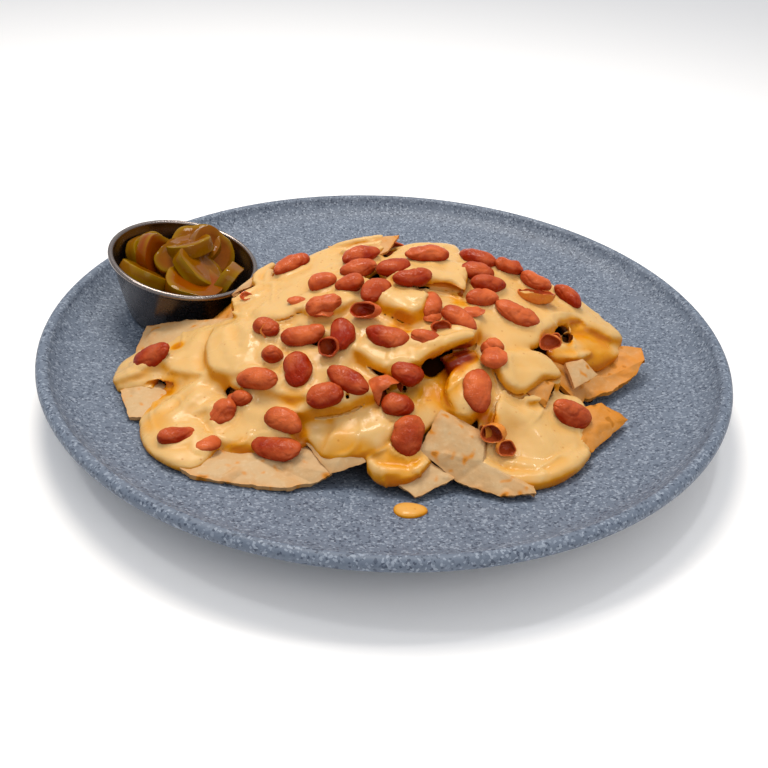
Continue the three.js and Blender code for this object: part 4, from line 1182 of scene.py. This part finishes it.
def make_drop(material):
    """The fallen drop: flat below, domed above, slightly lobed."""
    low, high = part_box("sauce_drop")
    middle = (low + high) / 2
    drop = begin(bpy.ops.mesh.primitive_uv_sphere_add, segments=48, ring_count=24, radius=1.0)
    drop.name = "fallen_sauce_drop"
    ball = vertices_of(drop)
    reach = (high - low) / 2
    wobble = 1 + 0.05 * np.sin(3 * np.arctan2(ball[:, 1], ball[:, 0]) + 1)
    x = (middle.x + ball[:, 0] * reach.x * wobble) / MM
    y = (middle.y + ball[:, 1] * reach.y * wobble) / MM
    rise = np.where(ball[:, 2] > 0, np.abs(ball[:, 2]) ** 0.8 * 2.0, 0)
    move_vertices(drop, np.stack([x, y, plate_top(x, y) + 0.05 + rise], axis=1) * MM)
    # painted shade: deeper orange towards the drop's lower sides
    store(drop, "depth", 0.3 + 0.55 * (1 - np.clip(ball[:, 2], 0, 1)) ** 2)
    smooth_over(drop, 80)
    dress(drop, material, "sauce_drop")


# ---------------------------------------------------------------- beans

def bean_pose(node):
    """Middle, axes (long, wide, thin) and half lengths of a bean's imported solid, in mm."""
    places = np.unique(np.round(vertices_of(NODES[node]) / MM, 3), axis=0)
    centred = places - places.mean(axis=0)
    _, _, axes = np.linalg.svd(centred, full_matrices=False)
    long_axis = axes[0]
    thin = axes[2] * (1 if axes[2][2] > 0 else -1)
    axes = np.array([long_axis, np.cross(thin, long_axis), thin])
    along = centred @ axes.T
    middle = places.mean(axis=0) + (along.max(axis=0) + along.min(axis=0)) / 2 @ axes
    return middle, axes, (along.max(axis=0) - along.min(axis=0)) / 2


def make_beans(material, poses):
    """Each bean in its packed place: a little lopsided, waisted and bent, with a wrinkled skin."""
    pick = np.random.default_rng(5)
    for index, (node, (middle, axes, halves)) in enumerate(zip(BEANS, poses)):
        bean = begin(bpy.ops.mesh.primitive_uv_sphere_add, segments=64, ring_count=44, radius=1.0)
        bean.name = "cooked_" + node
        ball = vertices_of(bean)
        # the poles lie along the bean
        along, across, up = ball[:, 2], ball[:, 0], ball[:, 1]
        # lopsided, waisted, bent and flattened
        lean, waist, bend = pick.uniform(-0.12, 0.12), pick.uniform(0.0, 0.1), pick.uniform(0.06, 0.26)
        fat = 1 + lean * along - waist * np.exp(-(along / 0.4) ** 2)
        side = bend * (along ** 2 - 0.4) * (1 if index % 2 else -1)
        flat = 0.94 + 0.05 * np.cos(3 * along + index)
        local = np.stack([along, across * fat + side, up * fat * flat], axis=1) * halves
        # wrinkles and a few sharp creases, rougher on a crushed bean
        rough = 2.0 if node in CRUSHED else 1.0
        wrinkle = (rumple(local, 4.5, 0.35 * rough, index * 2.3) + rumple(local, 2.0, 0.12 * rough, index + 9)
                   - 0.2 * np.exp(-(rumple(local * (0.6, 1, 1), 5.0, 1.0, index + 30) / 0.07) ** 2))
        if node in CRACKED:
            wrinkle -= 0.4 * np.exp(-((along - 0.1 - 0.15 * across) / 0.05) ** 2)
        local += ball[:, [2, 0, 1]] * wrinkle[:, None]
        places = middle + local @ axes
        move_vertices(bean, places * MM)
        # painted light: lighter on top, where light falls; also patchy, and different from bean to bean
        shade = 0.5 * step(normals_of(bean)[:, 2], -0.2, 0.9) - 0.35 * (node in DEEP_RED)
        store(bean, "tint", 0.1 + shade + rumple(places, 7, 0.3, 40) + pick.uniform(-0.2, 0.25))
        smooth_over(bean, 80)
        dress(bean, material, node)


def make_torn_skins(material, sauce):
    """Thin skins that have slipped off beans, torn open, lying on the sauce."""
    made = []
    bpy.context.view_layer.update()
    for index, (place, lift, halves, facing, shut, tint) in enumerate(TORN_SKINS):
        hit, spot, _, _ = sauce.ray_cast(Vector((*place, 90)) * MM, Vector((0, 0, -1)))
        ground = spot.z / MM if hit else float(heap_top(*place))
        facing = Vector(facing).normalized()
        skin = begin(bpy.ops.mesh.primitive_uv_sphere_add, segments=48, ring_count=30, radius=1.0)
        bpy.ops.object.mode_set(mode="EDIT")
        bpy.ops.mesh.select_all(action="SELECT")
        bpy.ops.mesh.bisect(plane_co=facing * shut, plane_no=facing, clear_outer=True)
        bpy.ops.object.mode_set(mode="OBJECT")
        ball = vertices_of(skin)
        # uneven all over, and curling outwards at the torn rim
        near_rim = step(ball @ np.array(facing), shut - 0.45, shut)
        local = ball * halves
        size = min(1.0, max(halves) / 5)    # small skins curl less
        local += ball * (rumple(local, 3.4, 0.5, index * 1.7) + rumple(local, 1.4, 0.12, index + 4))[:, None]
        local += np.array(facing) * (size * near_rim * rumple(local, 3.0, 0.8, index + 60))[:, None]
        local += ball * (size * near_rim ** 2 * (0.3 + rumple(local, 4.0, 0.6, index + 70)))[:, None]
        move_vertices(skin, (local + (*place, ground + lift)) * MM)
        # painted shade: the inner wall is a deeper red
        outside = len(skin.data.vertices)
        modify(skin, "SOLIDIFY", thickness=SKIN_THICKNESS * MM, offset=-1.0)
        places = vertices_of(skin) / MM
        inside = np.arange(len(places)) >= outside
        store(skin, "tint", tint * (1 - 0.7 * inside) + rumple(places, 3, 0.3, 41))
        made.append(skin)
    skins = join(made, "torn_bean_skins")
    smooth_over(skins, 70)
    dress(skins, material, None)


# ---------------------------------------------------------------- the object

view_camera()
studio()
make_plate()
make_cup()
make_peppers()
TORTILLA = tortilla()
CHEESE = cheese()
BEAN_POSES = [bean_pose(node) for node in BEANS]
make_chips(TORTILLA)
make_heap(TORTILLA)
SAUCE = make_sauce(CHEESE, BEAN_POSES)
make_drop(CHEESE)
BEAN_SKIN = bean_skin()
make_beans(BEAN_SKIN, BEAN_POSES)
make_torn_skins(BEAN_SKIN, SAUCE)
